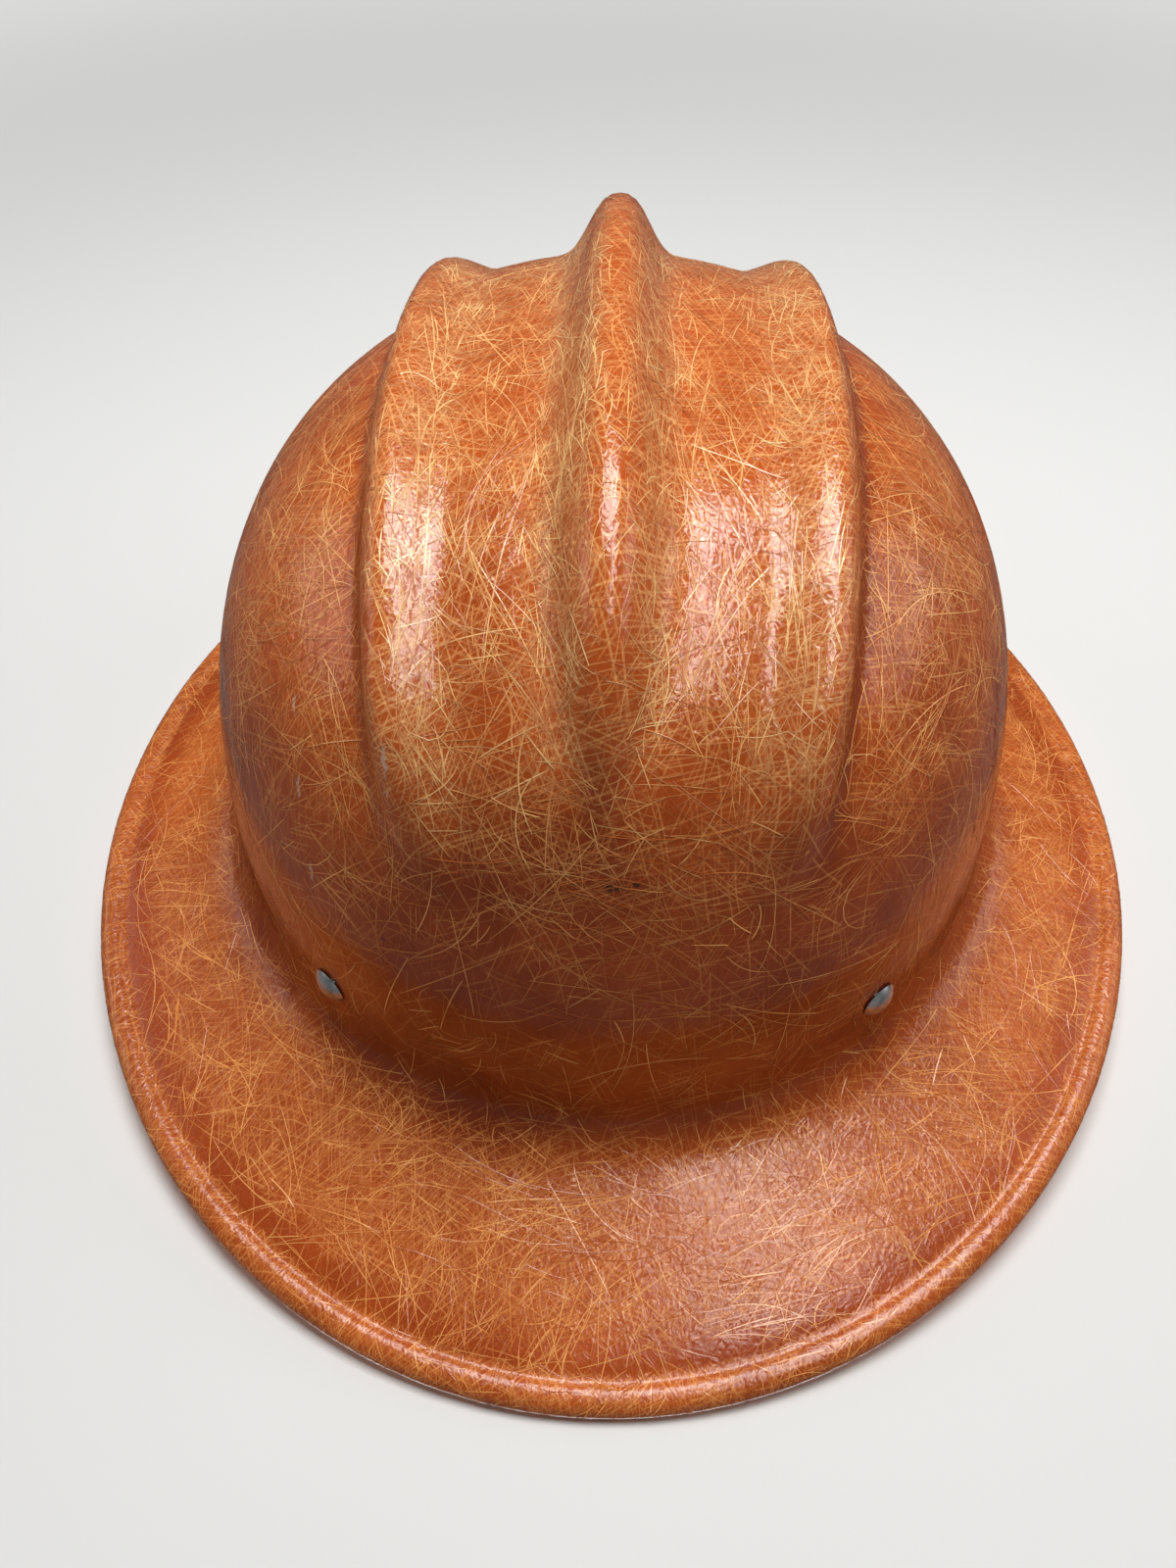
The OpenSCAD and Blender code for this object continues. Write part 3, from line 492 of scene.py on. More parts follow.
def section(c, s):
    """The shell from the crown out round the bead and back under, at one place"""
    z = sizes()
    edge = brim_edge(c, s)
    way = (edge - base_corner(c, s)).normalized()
    up = brim_up(way)

    def place(inward, high):
        return edge - way * inward + up * high

    steps = [(k + 1) / FILLET_STEPS for k in range(FILLET_STEPS)]
    ring = [fillet_point(c, s, t, 0) for t in steps]
    flat = (ring[-1] - edge).length
    groove = z.bead_w + GROOVE_W
    spots = [flat + (groove - flat) * (k + 1) / BRIM_STEPS for k in range(BRIM_STEPS)]
    ring += [place(q, 0) for q in spots]
    ring += [place(z.bead_w + q * MM, high * MM) for q, high in GROOVE]
    for k in range(BEAD_STEPS + 1):
        g = BEAD_SWEEP * (1 - 2 * k / BEAD_STEPS)
        ring.append(place(z.bead_w / 2 * (1 - math.cos(g)),
                          z.bead_rise - z.bead_h / 2 + z.bead_h / 2 * math.sin(g)))
    ring.append(place(z.bead_w + 1 * MM, -z.wall))
    ring += [place(q, -z.wall) for q in reversed(spots)]
    ring += [fillet_point(c, s, t, z.wall) for t in reversed(steps)]
    return ring


def section_measures(c, s):
    """A section, with each point's distance out from the crown and in from the edge"""
    corner, edge = base_corner(c, s), brim_edge(c, s)
    ring = section(c, s)
    outs = [math.copysign((p - corner).length,
                          p.x * c + p.y * s - corner.dot(Vector((c, s, 0)))) for p in ring]
    for k in range(FILLET_STEPS):
        outs[k] = outs[-1 - k] = sizes().fillet * (2 * (k + 1) / FILLET_STEPS - 1)
    return ring, outs, [(p - edge).length for p in ring]


def meridian():
    """Lengths along the dome, from its top, at even steps of the grid"""
    s = sizes()
    lengths, last = [], None
    for k in range(MERIDIAN_STEPS + 1):
        r = dome_r(s.fillet) * math.sin(math.pi / 2 * k / MERIDIAN_STEPS)
        p = Vector(((s.crown_w + s.crown_l) / 4 * r, s.dome_h * dome_height(r)))
        lengths.append(lengths[-1] + (p - last).length if lengths else 0.0)
        last = p
    return lengths


def way_out(c, s):
    """The way out from the crown's middle on the flattened surface, stretched and plain"""
    p = Vector((sizes().crown_w * c, sizes().crown_l * s))
    mean = (sizes().crown_w + sizes().crown_l) / 2
    return p.normalized() * p.length / mean, p.normalized()


def base_z():
    """Height of the crown's base, from the rivets that go through it"""
    return RIVETS_Z - cradle().rivet_z


def place_shell(p):
    """From the crown's own place to its place in the hat"""
    return Vector((p.x, p.y + sizes().crown_y, max(0.0, p.z + base_z())))


def crown_skin(bm, depth, table, layers):
    """One side of the crown: a flat grid moved on to the ribbed dome"""
    s = sizes()
    plan, flow, spot = layers
    made = bmesh.ops.create_grid(bm, x_segments=s.columns, y_segments=s.rows, size=1.0)["verts"]
    for v in made:
        a, b = v.co.x, v.co.y
        d = on_disc(a, b)
        far = min(1.0, d.length)
        c, q = (d.x / far, d.y / far) if far > 1e-6 else (1.0, 0.0)
        k = far * (len(table) - 1)
        i = min(int(k), len(table) - 2)
        along = table[i] + (table[i + 1] - table[i]) * (k - i)
        out = way_out(c, q)[0] * along
        p = dome_point(a, b)
        v[plan] = (c, q, 0)
        v[flow] = (out.x, out.y, along - table[-1] - s.fillet)
        v[spot] = (fibre_crowding(p), 1.0, 1.0 if depth else 0.0)
        v.co = p + dome_normal(p) * (rib_rise(p) - depth)
    if depth:
        bmesh.ops.reverse_faces(bm, faces=list({f for v in made for f in v.link_faces}))
    return made


def rim_edges(verts):
    return list({e for v in verts for e in v.link_edges if len(e.link_faces) == 1})


def shell_mesh():
    """The whole shell, grown from the outer crown's rim and joined to the inner one's. Its
    layers are plan, the place round the oval; flow, the place on the flattened surface
    and how far out from the crown's foot; and spot, the crowding of fibres, lowered in the
    ribs' outer creases for painted shade, the distance from the edge and 1 on the inside"""
    bm = bmesh.new()
    layers = [bm.verts.layers.float_vector.new(n) for n in ("plan", "flow", "spot")]
    plan, flow, spot = layers
    table = meridian()
    edges = rim_edges(crown_skin(bm, 0.0, table, layers))
    rings = {}
    for k in range(SECTION_STEPS):
        grown = bmesh.ops.extrude_edge_only(bm, edges=edges)["geom"]
        new = {g for g in grown if isinstance(g, bmesh.types.BMVert)}
        edges = [g for g in grown if isinstance(g, bmesh.types.BMEdge) and set(g.verts) <= new]
        for v in new:
            c, q, _ = v[plan]
            key = (round(c, 5), round(q, 5))
            if key not in rings:
                rings[key] = section_measures(c, q)
            ring, outs, ins = rings[key]
            v.co = ring[k]
            stretch, straight = way_out(c, q)
            out = stretch * table[-1] + straight * (outs[k] + sizes().fillet)
            v[flow] = (out.x, out.y, outs[k])
            v[spot] = (0.0, ins[k], 0.0 if k < OUTER_STEPS else 1.0)
    inner = crown_skin(bm, sizes().wall, table, layers)
    bmesh.ops.bridge_loops(bm, edges=edges + rim_edges(inner))
    for v in bm.verts:
        v.co = place_shell(v.co)
    bmesh.ops.recalc_face_normals(bm, faces=bm.faces)
    in_order(bm)
    return bm


# Strands of glass that show in the shell, each a thin ribbon laid on its surface

STRAND_SEGMENTS = 8
STRAND_SHORTEST, STRAND_SPREAD = 7, 33      # length, in millimetres
HALF_WIDTH, BRIGHT_WIDER, WIDTH_SPREAD = 0.04, 0.055, 0.025
HEIGHTS, TILT = (0.05, 0.11), 0.012         # above the shell, in millimetres
TAPER = 0.45                                # width at a strand's two ends, as a share
BEND, CURLED, CURLED_BEND = 22, 0.15, 90    # turn to a metre, and the share that curls more
WANDER, WANDER_GROWTH = 0.8, 600            # how the bend changes on the way
SWIRLED, LOOSE, SWIRL_SCALE = 0.55, 0.18, 26    # the share that lies in common swirls
RIBS_FROM, FORWARDS, ASKEW = 0.3, 0.6, 0.35     # the share that lies along the ribs
TURN_COSINE = 0.992                         # of the most that one step may turn
SMALLEST_STEP = 0.8 * MM
GROOVE_IN, GROOVE_OUT = 7.2 * MM, 13 * MM   # the groove, by its distance from the edge
UV_COLUMNS = 48


def root(face):
    """The corner that a face takes its values from, the same one on every run"""
    return min(face.verts, key=lambda v: v.index)


def on_crown(v, flow, spot):
    return v[spot].z < 0.5 and v[flow].z <= 0


def on_brim(v, flow, spot):
    return v[spot].z < 0.5 and v[flow].z > 0


def on_inside(v, flow, spot):
    return v[spot].z > 0.5


# Pieces of strands, each with the faces that it lies on and the seed of its draws
STRANDS = (("crown_strands", on_crown, 3), ("brim_strands", on_brim, 5),
           ("inner_strands", on_inside, 8))


def crowded(face, flow, spot):
    """How many strands begin on a face, for its area"""
    v = root(face)
    middle = face.calc_center_median()
    reach, ribs, from_edge = v[flow].z, v[spot].x, v[spot].y
    patches = 0.85 + 0.45 * noise.noise(middle * 38) + 0.35 * noise.noise(middle * 110)
    if reach <= 0:
        # sparse low on the crown, close along the ribs, and fewer in the ribs' outer creases,
        # where shade is painted
        level = 0.24 + 0.6 * ease((middle.z - 60 * MM) / (65 * MM)) + 1.15 * ribs
    elif GROOVE_IN < from_edge < GROOVE_OUT:
        level = 0.6
    else:
        level = 0.3 + 0.85 * ease((reach + 5 * MM) / (20 * MM))
    return max(0.05, level) * max(0.2, patches)


def strand_route(tree, place, normal, way, full, bend, rng):
    """Walks over the surface from a place, a step at a time, shorter where it turns"""
    route = [(place, normal, way)]
    base = step = full / STRAND_SEGMENTS
    wander = rng.gauss(0, 1) * WANDER
    for _ in range(STRAND_SEGMENTS):
        way = (way + normal.cross(way) * bend * step).normalized()
        hit, turned, _, _ = tree.find_nearest(place + way * step)
        while turned.dot(normal) < TURN_COSINE and step > SMALLEST_STEP:
            step *= 0.5
            hit, turned, _, _ = tree.find_nearest(place + way * step)
        move = hit - place
        way = (move - turned * move.dot(turned)).normalized()
        bend += wander * step * WANDER_GROWTH
        place, normal = hit, turned
        route.append((place, normal, way))
        step = min(base, step * 1.5)
    return route


def draw_strand(face, tree, spot, rng):
    """Draws one strand: its route, half width, tone, height above the shell and tilt"""
    ribs = root(face)[spot].x
    normal = face.normal.copy()
    middle = face.calc_center_median()
    way = Vector((rng.gauss(0, 1), rng.gauss(0, 1), rng.gauss(0, 1)))
    if rng.random() < SWIRLED:
        way = way * LOOSE + noise.noise_vector(middle * SWIRL_SCALE)
    if ribs > RIBS_FROM and rng.random() < FORWARDS:
        way = Vector((rng.gauss(0, ASKEW), 1, 0))
    way = (way - normal * way.dot(normal)).normalized()
    full = (STRAND_SHORTEST + STRAND_SPREAD * rng.random() ** 2) * MM
    bend = rng.gauss(0, BEND)
    if rng.random() < CURLED:
        bend = rng.gauss(0, CURLED_BEND)
    bright = 0.1 + 0.9 * rng.random() ** 2.1
    wide = (HALF_WIDTH + BRIGHT_WIDER * bright + rng.uniform(0, WIDTH_SPREAD)) * MM
    tone = (min(1, bright + 0.2 * max(0, ribs)), min(1, 0.3 * rng.random() + max(0, ribs)), 0)
    route = strand_route(tree, middle, normal, way, full, bend, rng)
    return route, wide, tone, rng.uniform(*HEIGHTS) * MM, rng.gauss(0, TILT) * MM


def lay_strands(shell, tree, name, number, wanted, seed):
    """Ribbons of glass laid over the faces that are wanted, as one piece. One grid of
    many rows is made, every second row of faces is left out, and each row that is left
    is moved on to its strand's route"""
    rng = random.Random(seed)
    noise.seed_set(seed)
    flow, spot = (shell.verts.layers.float_vector[n] for n in ("flow", "spot"))
    faces = [f for f in shell.faces if wanted(root(f), flow, spot)]
    weights = [f.calc_area() * crowded(f, flow, spot) for f in faces]
    starts = rng.choices(faces, weights=weights, k=number)
    bm = bmesh.new()
    tone = bm.verts.layers.float_vector.new("tone")
    uv = bm.loops.layers.uv.new("OFBake")
    rows = 2 * number - 1
    bmesh.ops.create_grid(bm, x_segments=STRAND_SEGMENTS, y_segments=rows, size=1.0)
    gaps = [f for f in bm.faces if round((f.calc_center_median().y + 1) / 2 * rows - 0.5) % 2]
    bmesh.ops.delete(bm, geom=gaps, context="FACES_ONLY")
    bmesh.ops.delete(bm, geom=[e for e in bm.edges if not e.link_faces], context="EDGES")
    uv_rows = -(-number // UV_COLUMNS)
    strands = {}
    for v in bm.verts:
        i = round((v.co.x + 1) / 2 * STRAND_SEGMENTS)
        k, high = divmod(round((v.co.y + 1) / 2 * rows), 2)
        if k not in strands:
            strands[k] = draw_strand(starts[k], tree, spot, rng)
        route, wide, v[tone], lifted, tilt = strands[k]
        place, normal, way = route[i]
        taper = TAPER if i in (0, STRAND_SEGMENTS) else 1.0
        side = normal.cross(way) * (wide * taper * (1 if high else -1))
        v.co = place + side + normal * (lifted + (tilt if high else -tilt))
        v.co.z = max(v.co.z, 0)
        row, column = divmod(k, UV_COLUMNS)
        for loop in v.link_loops:
            loop[uv].uv = ((column + 0.04 + 0.92 * i / STRAND_SEGMENTS) / UV_COLUMNS,
                           (row + 0.15 + 0.7 * high) / uv_rows)
    return piece(name, bm, "hat_shell", material(glass_strand))


# Material of the shell. The layers of deep strands: turn, then length, pitch and width in mm

DEEP_LAYERS = ((0.4, 26, 1.5, 0.40), (1.9, 22, 1.4, 0.36), (2.7, 18, 1.3, 0.34),
               (1.15, 12, 0.9, 0.26), (3.4, 10, 0.8, 0.24))
# The layers of the fine relief: turn, then length and pitch in mm
FINE_LAYERS = ((0.35, 6, 0.8), (1.2, 5, 0.7), (2.0, 7, 0.9), (2.8, 5, 0.75))
FINE_START = (-45.6, -90.4, 0)      # where in the noise the fine relief is taken from
# Marks of wear: place and half size in mm about the hat's own middle, and strength
CHIPS = (((2.6, -94.3, 100.6), (2.8, 4.5, 1.0), 0.9),
         ((6.4, -93.8, 101.2), (0.9, 3.0, 0.5), 0.8),
         ((-45.6, -90.4, 74.5), (0.6, 2.0, 0.6), 0.5))
SCUFFS = (((-40.5, -80.0, 119.5), (0.5, 4.0, 4.6), 0.75),
          ((-40.7, -84.6, 112.5), (0.35, 3.0, 1.5), 0.6),
          ((-63.6, -57.0, 109.7), (0.45, 2.6, 2.4), 0.6),
          ((-63.3, -67.6, 96.7), (0.5, 2.2, 3.4), 0.65),
          ((-62.2, -77.0, 79.2), (0.4, 2.4, 3.0), 0.55),
          ((-60.5, -70.0, 101.0), (1.6, 1.8, 0.35), 0.4),
          ((52.0, 64.0, 118.0), (0.5, 5.0, 3.6), 0.5),
          ((-20.0, 100.0, 96.0), (4.4, 3.0, 0.5), 0.45),
          ((96.0, -8.0, 60.0), (3.0, 5.0, 0.5), 0.5),
          ((-97.0, 30.0, 56.0), (3.0, 0.5, 4.0), 0.4))
SCUFF_COLOUR = (0.62, 0.46, 0.36, 1.0)
CHIP_COLOUR = (0.02, 0.012, 0.01, 1.0)


def turned_place(g, place, turn, long, pitch):
    """A flat place turned, and counted in lengths along and pitches across"""
    c, s = math.cos(turn), math.sin(turn)
    return (g.vector("DOT_PRODUCT", place, (c / long, s / long, 0)),
            g.vector("DOT_PRODUCT", place, (-s / pitch, c / pitch, 0)))


def strand_layer(g, place, turn, long, pitch, width, strand_crowd_less_shade, shift):
    """One layer of deep, dim strands: straight dashes, one in each long cell"""
    u, v = turned_place(g, place, turn, long, pitch)
    scaled = g.join(g.math("ADD", u, shift), g.math("ADD", v, 1.7 * shift))
    cells = g.cells(scaled, 1.0, voronoi_dimensions="2D")
    away = g.split(g.vector("SUBTRACT", scaled, cells["Position"]))
    chance = g.split(cells["Color"])
    slope = g.math("MULTIPLY_ADD", chance[0], 0.1 * long, -0.05 * long)
    across = g.math("ABSOLUTE", g.math("MULTIPLY_ADD", away[0], slope,
                                       g.math("MULTIPLY", away[1], pitch)))
    line = g.step(across, 0.2 * width, 0.8 * width, 1.0, 0.0)
    ends = g.step(g.math("ABSOLUTE", away[0]), 0.32, 0.46, 1.0, 0.0)
    here = g.step(g.math("SUBTRACT", strand_crowd_less_shade, chance[2]), 0.0, 0.15)
    dim = g.math("MULTIPLY_ADD", chance[1], 0.7, 0.3)
    return g.fold("MULTIPLY", (line, ends, here, dim))


def wear(g, texture, ragged, marks):
    """Small ragged marks of wear at their places on the shell"""
    def mark(place, size, shown):
        away = g.vector("SUBTRACT", texture, [c * MM for c in place])
        away = g.vector("MULTIPLY_ADD", ragged, (2 * MM, 2 * MM, 2 * MM), away)
        far = g.vector("LENGTH", g.vector("MULTIPLY", away, [1 / (c * MM) for c in size]))
        return g.step(far, 0.45, 1.1, shown, 0.0)

    return g.fold("MAXIMUM", [mark(*one) for one in marks])


def moulded_resin():
    """Amber resin, deeper and clearer in places, with dim strands of glass inside it"""
    c = colours()
    g = Finish("Moulded glass fibre", specular=0.36)
    texture = g.place()
    flow = g.attribute("flow")
    reach = g.split(flow)[2]
    rib_crowd_less_crease_shade, from_edge, inside = g.split(g.attribute("spot"))
    cloud = g.noise(texture, 22.0, 3.0, 0.55)
    brim = g.step(reach, -6 * MM, 20 * MM)
    groove = g.math("MULTIPLY", g.step(from_edge, 7.5 * MM, 10 * MM),
                    g.step(from_edge, 11 * MM, 20 * MM, 1.0, 0.0))
    groove = g.math("SUBTRACT", groove, inside, clamp=True)

    # How crowded the deep strands are: most along the ribs. Fewer strands low on the crown are
    # painted shade; in the ribs' outer creases they are painted shade and less fibre together
    strand_crowd_less_shade = g.math("MULTIPLY_ADD", rib_crowd_less_crease_shade, 0.42, 0.5)
    strand_crowd_less_shade = g.math("MULTIPLY_ADD", brim, 0.3, strand_crowd_less_shade)
    strand_crowd_less_shade = g.math("MULTIPLY_ADD", g.math("SUBTRACT", cloud, 0.5), 0.7, strand_crowd_less_shade)
    strand_crowd_less_shade = g.math("MULTIPLY_ADD", groove, -0.8, strand_crowd_less_shade)
    # painted shade: darker towards the bottom of the crown, none on the brim
    low = g.math("SUBTRACT", g.step(g.split(texture)[2], 60 * MM, 125 * MM, 0.34, 0.0),
                 g.math("MULTIPLY", brim, 0.34), clamp=True)
    strand_crowd_less_shade = g.math("SUBTRACT", strand_crowd_less_shade, low)

    # The strands lie on the flattened surface, a little wavy, others on the inside
    place = g.vector("ADD", flow, g.join(inside, inside))
    drift = g.noise(place, 18.0, 1.0, out=1, flat=True)
    place = g.vector("MULTIPLY_ADD", drift, (12 * MM, 12 * MM, 0), place)
    gaps = []
    for k, (turn, *measures) in enumerate(DEEP_LAYERS):
        long, pitch, width = (m * MM for m in measures)
        shown = strand_layer(g, place, turn, long, pitch, width, strand_crowd_less_shade, 0.37 * k)
        gaps.append(g.math("MULTIPLY_ADD", shown, -0.4, 1.0))
    strands = g.math("SUBTRACT", 1.0, g.fold("MULTIPLY", gaps))

    gold = g.mix(g.math("MULTIPLY", rib_crowd_less_crease_shade, 0.8), shade(c.fibre), shade(c.fibre_gold))
    # the rib crowding is below zero in the ribs' outer creases, so the deeper resin there is
    # partly painted shade
    thin = g.math("MULTIPLY_ADD", rib_crowd_less_crease_shade, 0.3, g.math("MULTIPLY_ADD", groove, -0.07, cloud))
    thin = g.math("MAXIMUM", g.step(thin, 0.18, 0.72), g.math("MULTIPLY", brim, 0.45))
    # painted shade: deeper resin low on the crown
    thin = g.math("SUBTRACT", thin, g.math("MULTIPLY", low, 1.2), clamp=True)
    resin = g.mix(thin, shade(c.resin_deep_and_shade), shade(c.resin))
    hazy = g.mix(g.math("MULTIPLY", strand_crowd_less_shade, 0.04), resin, gold)
    ragged = g.vector("SUBTRACT", g.noise(texture, 700.0, out=1), (0.5, 0.5, 0.5))
    scuffs = wear(g, texture, ragged, SCUFFS)
    paint = g.mix(scuffs, g.mix(strands, hazy, gold), SCUFF_COLOUR)
    g.colour(g.mix(wear(g, texture, ragged, CHIPS), paint, CHIP_COLOUR))

    grain = g.noise(texture, 900.0)
    rough = g.math("MULTIPLY_ADD", grain, 0.1, 0.09)
    for share, more in ((inside, 0.3), (brim, 0.12), (scuffs, 0.3)):
        rough = g.math("MULTIPLY_ADD", share, more, rough)
    g.roughness(rough)

    # The relief: slow waves, grain, and fine short ridges that wind about
    swirl = g.noise(g.place("Generated"), 80.0, 1.0, out=1, flat=True)
    swirled = g.vector("MULTIPLY_ADD", swirl, (6 * MM, 6 * MM, 0), FINE_START)
    fine = [g.join(*turned_place(g, swirled, turn, long * MM, pitch * MM))
            for turn, long, pitch in FINE_LAYERS]
    ridges = g.fold("ADD", [g.noise(ridge, 1.0, 0.0, flat=True) for ridge in fine])
    height = g.math("MULTIPLY_ADD", grain, g.math("MULTIPLY_ADD", inside, 0.8, 0.14),
                    g.math("MULTIPLY", g.noise(texture, 45.0, 1.0), 3.0))
    g.relief(g.math("MULTIPLY_ADD", ridges, 0.6, height), 0.12 * MM)
    return g.material


def glass_strand():
    """The loose strands that show near the surface, fading in and out of the resin"""
    c = colours()
    g = Finish("Glass strands", roughness=0.18, specular=0.36)
    tone = g.split(g.attribute("tone"))
    sunk = g.step(g.noise(g.place(), 95.0, 1.0), 0.32, 0.58, 0.45, 1.0)
    gold = g.mix(tone[1], shade(c.fibre), shade(c.fibre_gold))
    g.colour(g.mix(g.math("MULTIPLY", tone[0], sunk), shade(c.resin), gold))
    return g.material


# Other materials


def alloy(name, roughness, brushed=0.0):
    """Worn bright aluminium with fine rubbing marks"""
    g = Finish(name, metallic=1.0)
    texture, tint = g.place(), colours().alloy
    tone = g.noise(texture, 260.0, 3.0, 0.6)
    g.colour(g.mix(g.step(tone, 0.3, 0.62), shade(tint, 0.55), shade(tint)))
    g.roughness(g.math("MULTIPLY_ADD", tone, 0.25, roughness - 0.1))
    marks = g.noise(g.vector("MULTIPLY", texture, (3000.0, 500.0, 500.0)), 1.0)
    g.relief(g.math("MULTIPLY_ADD", marks, brushed + 0.3, tone), 0.04 * MM)
    return g.material


def dull_brass():
    """Brass with brown tarnish in patches"""
    g = Finish("Dulled brass", metallic=1.0)
    tint = colours().brass
    tarnish = g.noise(g.place(), 420.0, 4.0, 0.65)
    g.colour(g.mix(g.step(tarnish, 0.34, 0.58), shade(tint, 0.35), shade(tint)))
    g.roughness(g.step(tarnish, 0.3, 0.7, 0.5, 0.24))
    g.relief(tarnish, 0.03 * MM)
    return g.material


def woven_web():
    """Heavy cotton web, its threads drawn along and across the strap"""
    g = Finish("Cotton web", roughness=0.9, specular=0.2, sheen=0.3)
    texture, tint = g.place(), colours().web
    cloth = g.split(g.attribute("cloth"))
    along = g.math("MULTIPLY", cloth[0], math.pi / (1.1 * MM))
    across = g.math("MULTIPLY", cloth[1], math.pi / (0.9 * MM))
    weft, warp = (g.math("ABSOLUTE", g.math("SINE", way)) for way in (along, across))
    turns = [g.math("FLOOR", g.math("DIVIDE", way, math.pi)) for way in (along, across)]
    over = g.math("PINGPONG", g.math("ADD", *turns), 1.0)
    weave = g.math("ADD", g.math("MULTIPLY", g.math("MULTIPLY", warp, weft), 0.6),
                   g.math("MULTIPLY", g.add("ShaderNodeMix", over, None, weft, warp), 0.5))
    soil = g.noise(texture, 55.0, 4.0, 0.6)
    pale = g.mix(g.step(soil, 0.35, 0.7), shade(tint, 0.72), shade(tint))
    # painted shade in the gaps between the threads, where the weave is low
    g.colour(g.mix(g.step(weave, 0.15, 0.7), shade(tint, 0.4), pale))
    g.relief(g.math("MULTIPLY_ADD", g.noise(texture, 2500.0), 0.2, weave), 0.4 * MM)
    return g.material


def braided_cord():
    """Round cotton cord, its strands crossing both ways"""
    g = Finish("Braided cord", roughness=0.85, specular=0.25, sheen=0.25)
    tint = colours().cord
    cloth = g.split(g.attribute("cloth"))
    u = g.math("MULTIPLY", cloth[0], math.pi / (2.2 * MM))
    v = g.math("MULTIPLY", cloth[1], 4.0)
    braid = g.math("MULTIPLY", *(g.math("ABSOLUTE", g.math("SINE", g.math(way, u, v)))
                                 for way in ("ADD", "SUBTRACT")))
    soil = g.noise(g.place(), 120.0, 3.0)
    pale = g.mix(g.step(soil, 0.3, 0.7), shade(tint, 0.8), shade(tint))
    # painted shade in the grooves between the braid's strands
    g.colour(g.mix(g.step(braid, 0.0, 0.35), shade(tint, 0.45), pale))
    g.relief(braid, 0.5 * MM)
    return g.material


def tanned_leather(name, depth=1.0):
    """Grained leather, darkened and polished where it is worn"""
    c = colours()
    g = Finish(name, specular=0.4)
    texture = g.place()
    uneven = g.vector("MULTIPLY_ADD", g.noise(texture, 300.0, out=1),
                      (2 * MM, 2 * MM, 2 * MM), texture)
    grain = g.step(g.cells(uneven, 900.0, feature="DISTANCE_TO_EDGE")[0], 0.0, 0.22)
    worn = g.noise(texture, 38.0, 4.0, 0.6)
    tan = g.mix(g.step(worn, 0.32, 0.68), shade(c.leather_dark, depth), shade(c.leather, depth))
    g.colour(g.mix(grain, shade(c.leather_dark, 0.6 * depth), tan))
    g.roughness(g.step(worn, 0.3, 0.7, 0.42, 0.62))
    g.relief(g.math("MULTIPLY_ADD", worn, 0.6, grain), 0.18 * MM)
    return g.material


def vulcanised_fibre():
    """Hard dark fibreboard, laid in thin sheets"""
    g = Finish("Vulcanised fibre", specular=0.45)
    texture, tint = g.place(), colours().fibreboard
    mottle = g.noise(texture, 180.0, 4.0, 0.65)
    laid = g.noise(g.vector("MULTIPLY", texture, (260.0, 260.0, 1800.0)), 1.0, 3.0)
    g.colour(g.mix(g.step(mottle, 0.3, 0.7), shade(tint, 0.55), shade(tint, 1.35)))
    g.roughness(g.step(laid, 0.3, 0.7, 0.38, 0.56))
    g.relief(g.math("MULTIPLY_ADD", mottle, 0.5, laid), 0.08 * MM)
    return g.material


def sewing_thread():
    g = Finish("Sewing thread", roughness=0.7, specular=0.3, sheen=0.2)
    tint = colours().thread
    twist = g.noise(g.place(), 3200.0, 1.0)
    g.colour(g.mix(twist, shade(tint, 0.6), shade(tint)))
    g.relief(twist, 0.1 * MM)
    return g.material


# Shape of the cradle. A strap is named by its side, sx, and by front, middle or rear, sy

STRAP_NAMES = {(-1, -1): "strap_front_left", (1, -1): "strap_front_right",
               (-1, 0): "strap_side_left", (1, 0): "strap_side_right",
               (-1, 1): "strap_rear_left", (1, 1): "strap_rear_right"}
TAB_STEPS, RISE_STEPS, CURL_STEPS, TAIL_STEPS = 10, 40, 18, 16
CURL = math.radians(205)            # how far the strap goes round the lace
TAIL_JOIN = 7 * MM                  # from the lace to where the tail lies on the strap
UNDER_GAPS = 2.5                    # gaps between the strap and its tail
ACROSS_STEPS = 8
SELVEDGE = 0.5 * MM
STITCH_ROWS = (8.5, 12.0, 19.0)     # from the lace, in millimetres
STITCH_STEP = 2.5 * MM
THREAD_PROUD = 0.05 * MM


def rivet_cs(sx, sy):
    """A rivet's place round the crown's oval, as a cosine and a sine"""
    c = cradle().rivet_x / (sizes().crown_w / 2) if sy else 1.0
    return Vector((sx * c, sy * math.sqrt(1 - c * c)))


def rivet_dir(sx, sy):
    """The way out of the wall at a rivet"""
    cs = rivet_cs(sx, sy)
    return Vector((cs.x / sizes().crown_w, cs.y / sizes().crown_l)).normalized()


def rivet_seat(sx, sy):
    c, s = cradle(), sizes()
    cs, r = rivet_cs(sx, sy), dome_r(c.rivet_z - c.rivet_head / 2)
    plan = Vector((s.crown_w / 2 * r * cs.x, s.crown_l / 2 * r * cs.y))
    return plan + rivet_dir(sx, sy) * c.lay_gap


def strap_in():
    """How far inside a rivet's seat the strap's outer face lies"""
    c, s = cradle(), sizes()
    curve = dome_r(c.rivet_z - c.rivet_head / 2) - dome_r(c.rivet_z + c.tab)
    return s.wall + s.crown_l / 2 * curve + c.room


def curl_r():
    """Radius of the strap's turn round the lace, to the strap's middle"""
    c = cradle()
    return c.cad_lace_d / 2 + 2 * c.lay_gap + c.cad_strap_t / 2


def strap_shape(sx, sy):
    """A strap's seat, its distance out, and the end angle and height of its arc"""
    c = cradle()
    seat = rivet_seat(sx, sy) - rivet_dir(sx, sy) * (strap_in() + c.cad_strap_t / 2)
    reach = seat.length
    end = math.acos(c.lace_reach / reach)
    high = (c.lace_z + curl_r() - c.rivet_z - c.tab) / math.sin(end)
    return seat, reach, end, high


def arc_normal(reach, high, g):
    return math.atan2(reach * math.sin(g), high * math.cos(g))


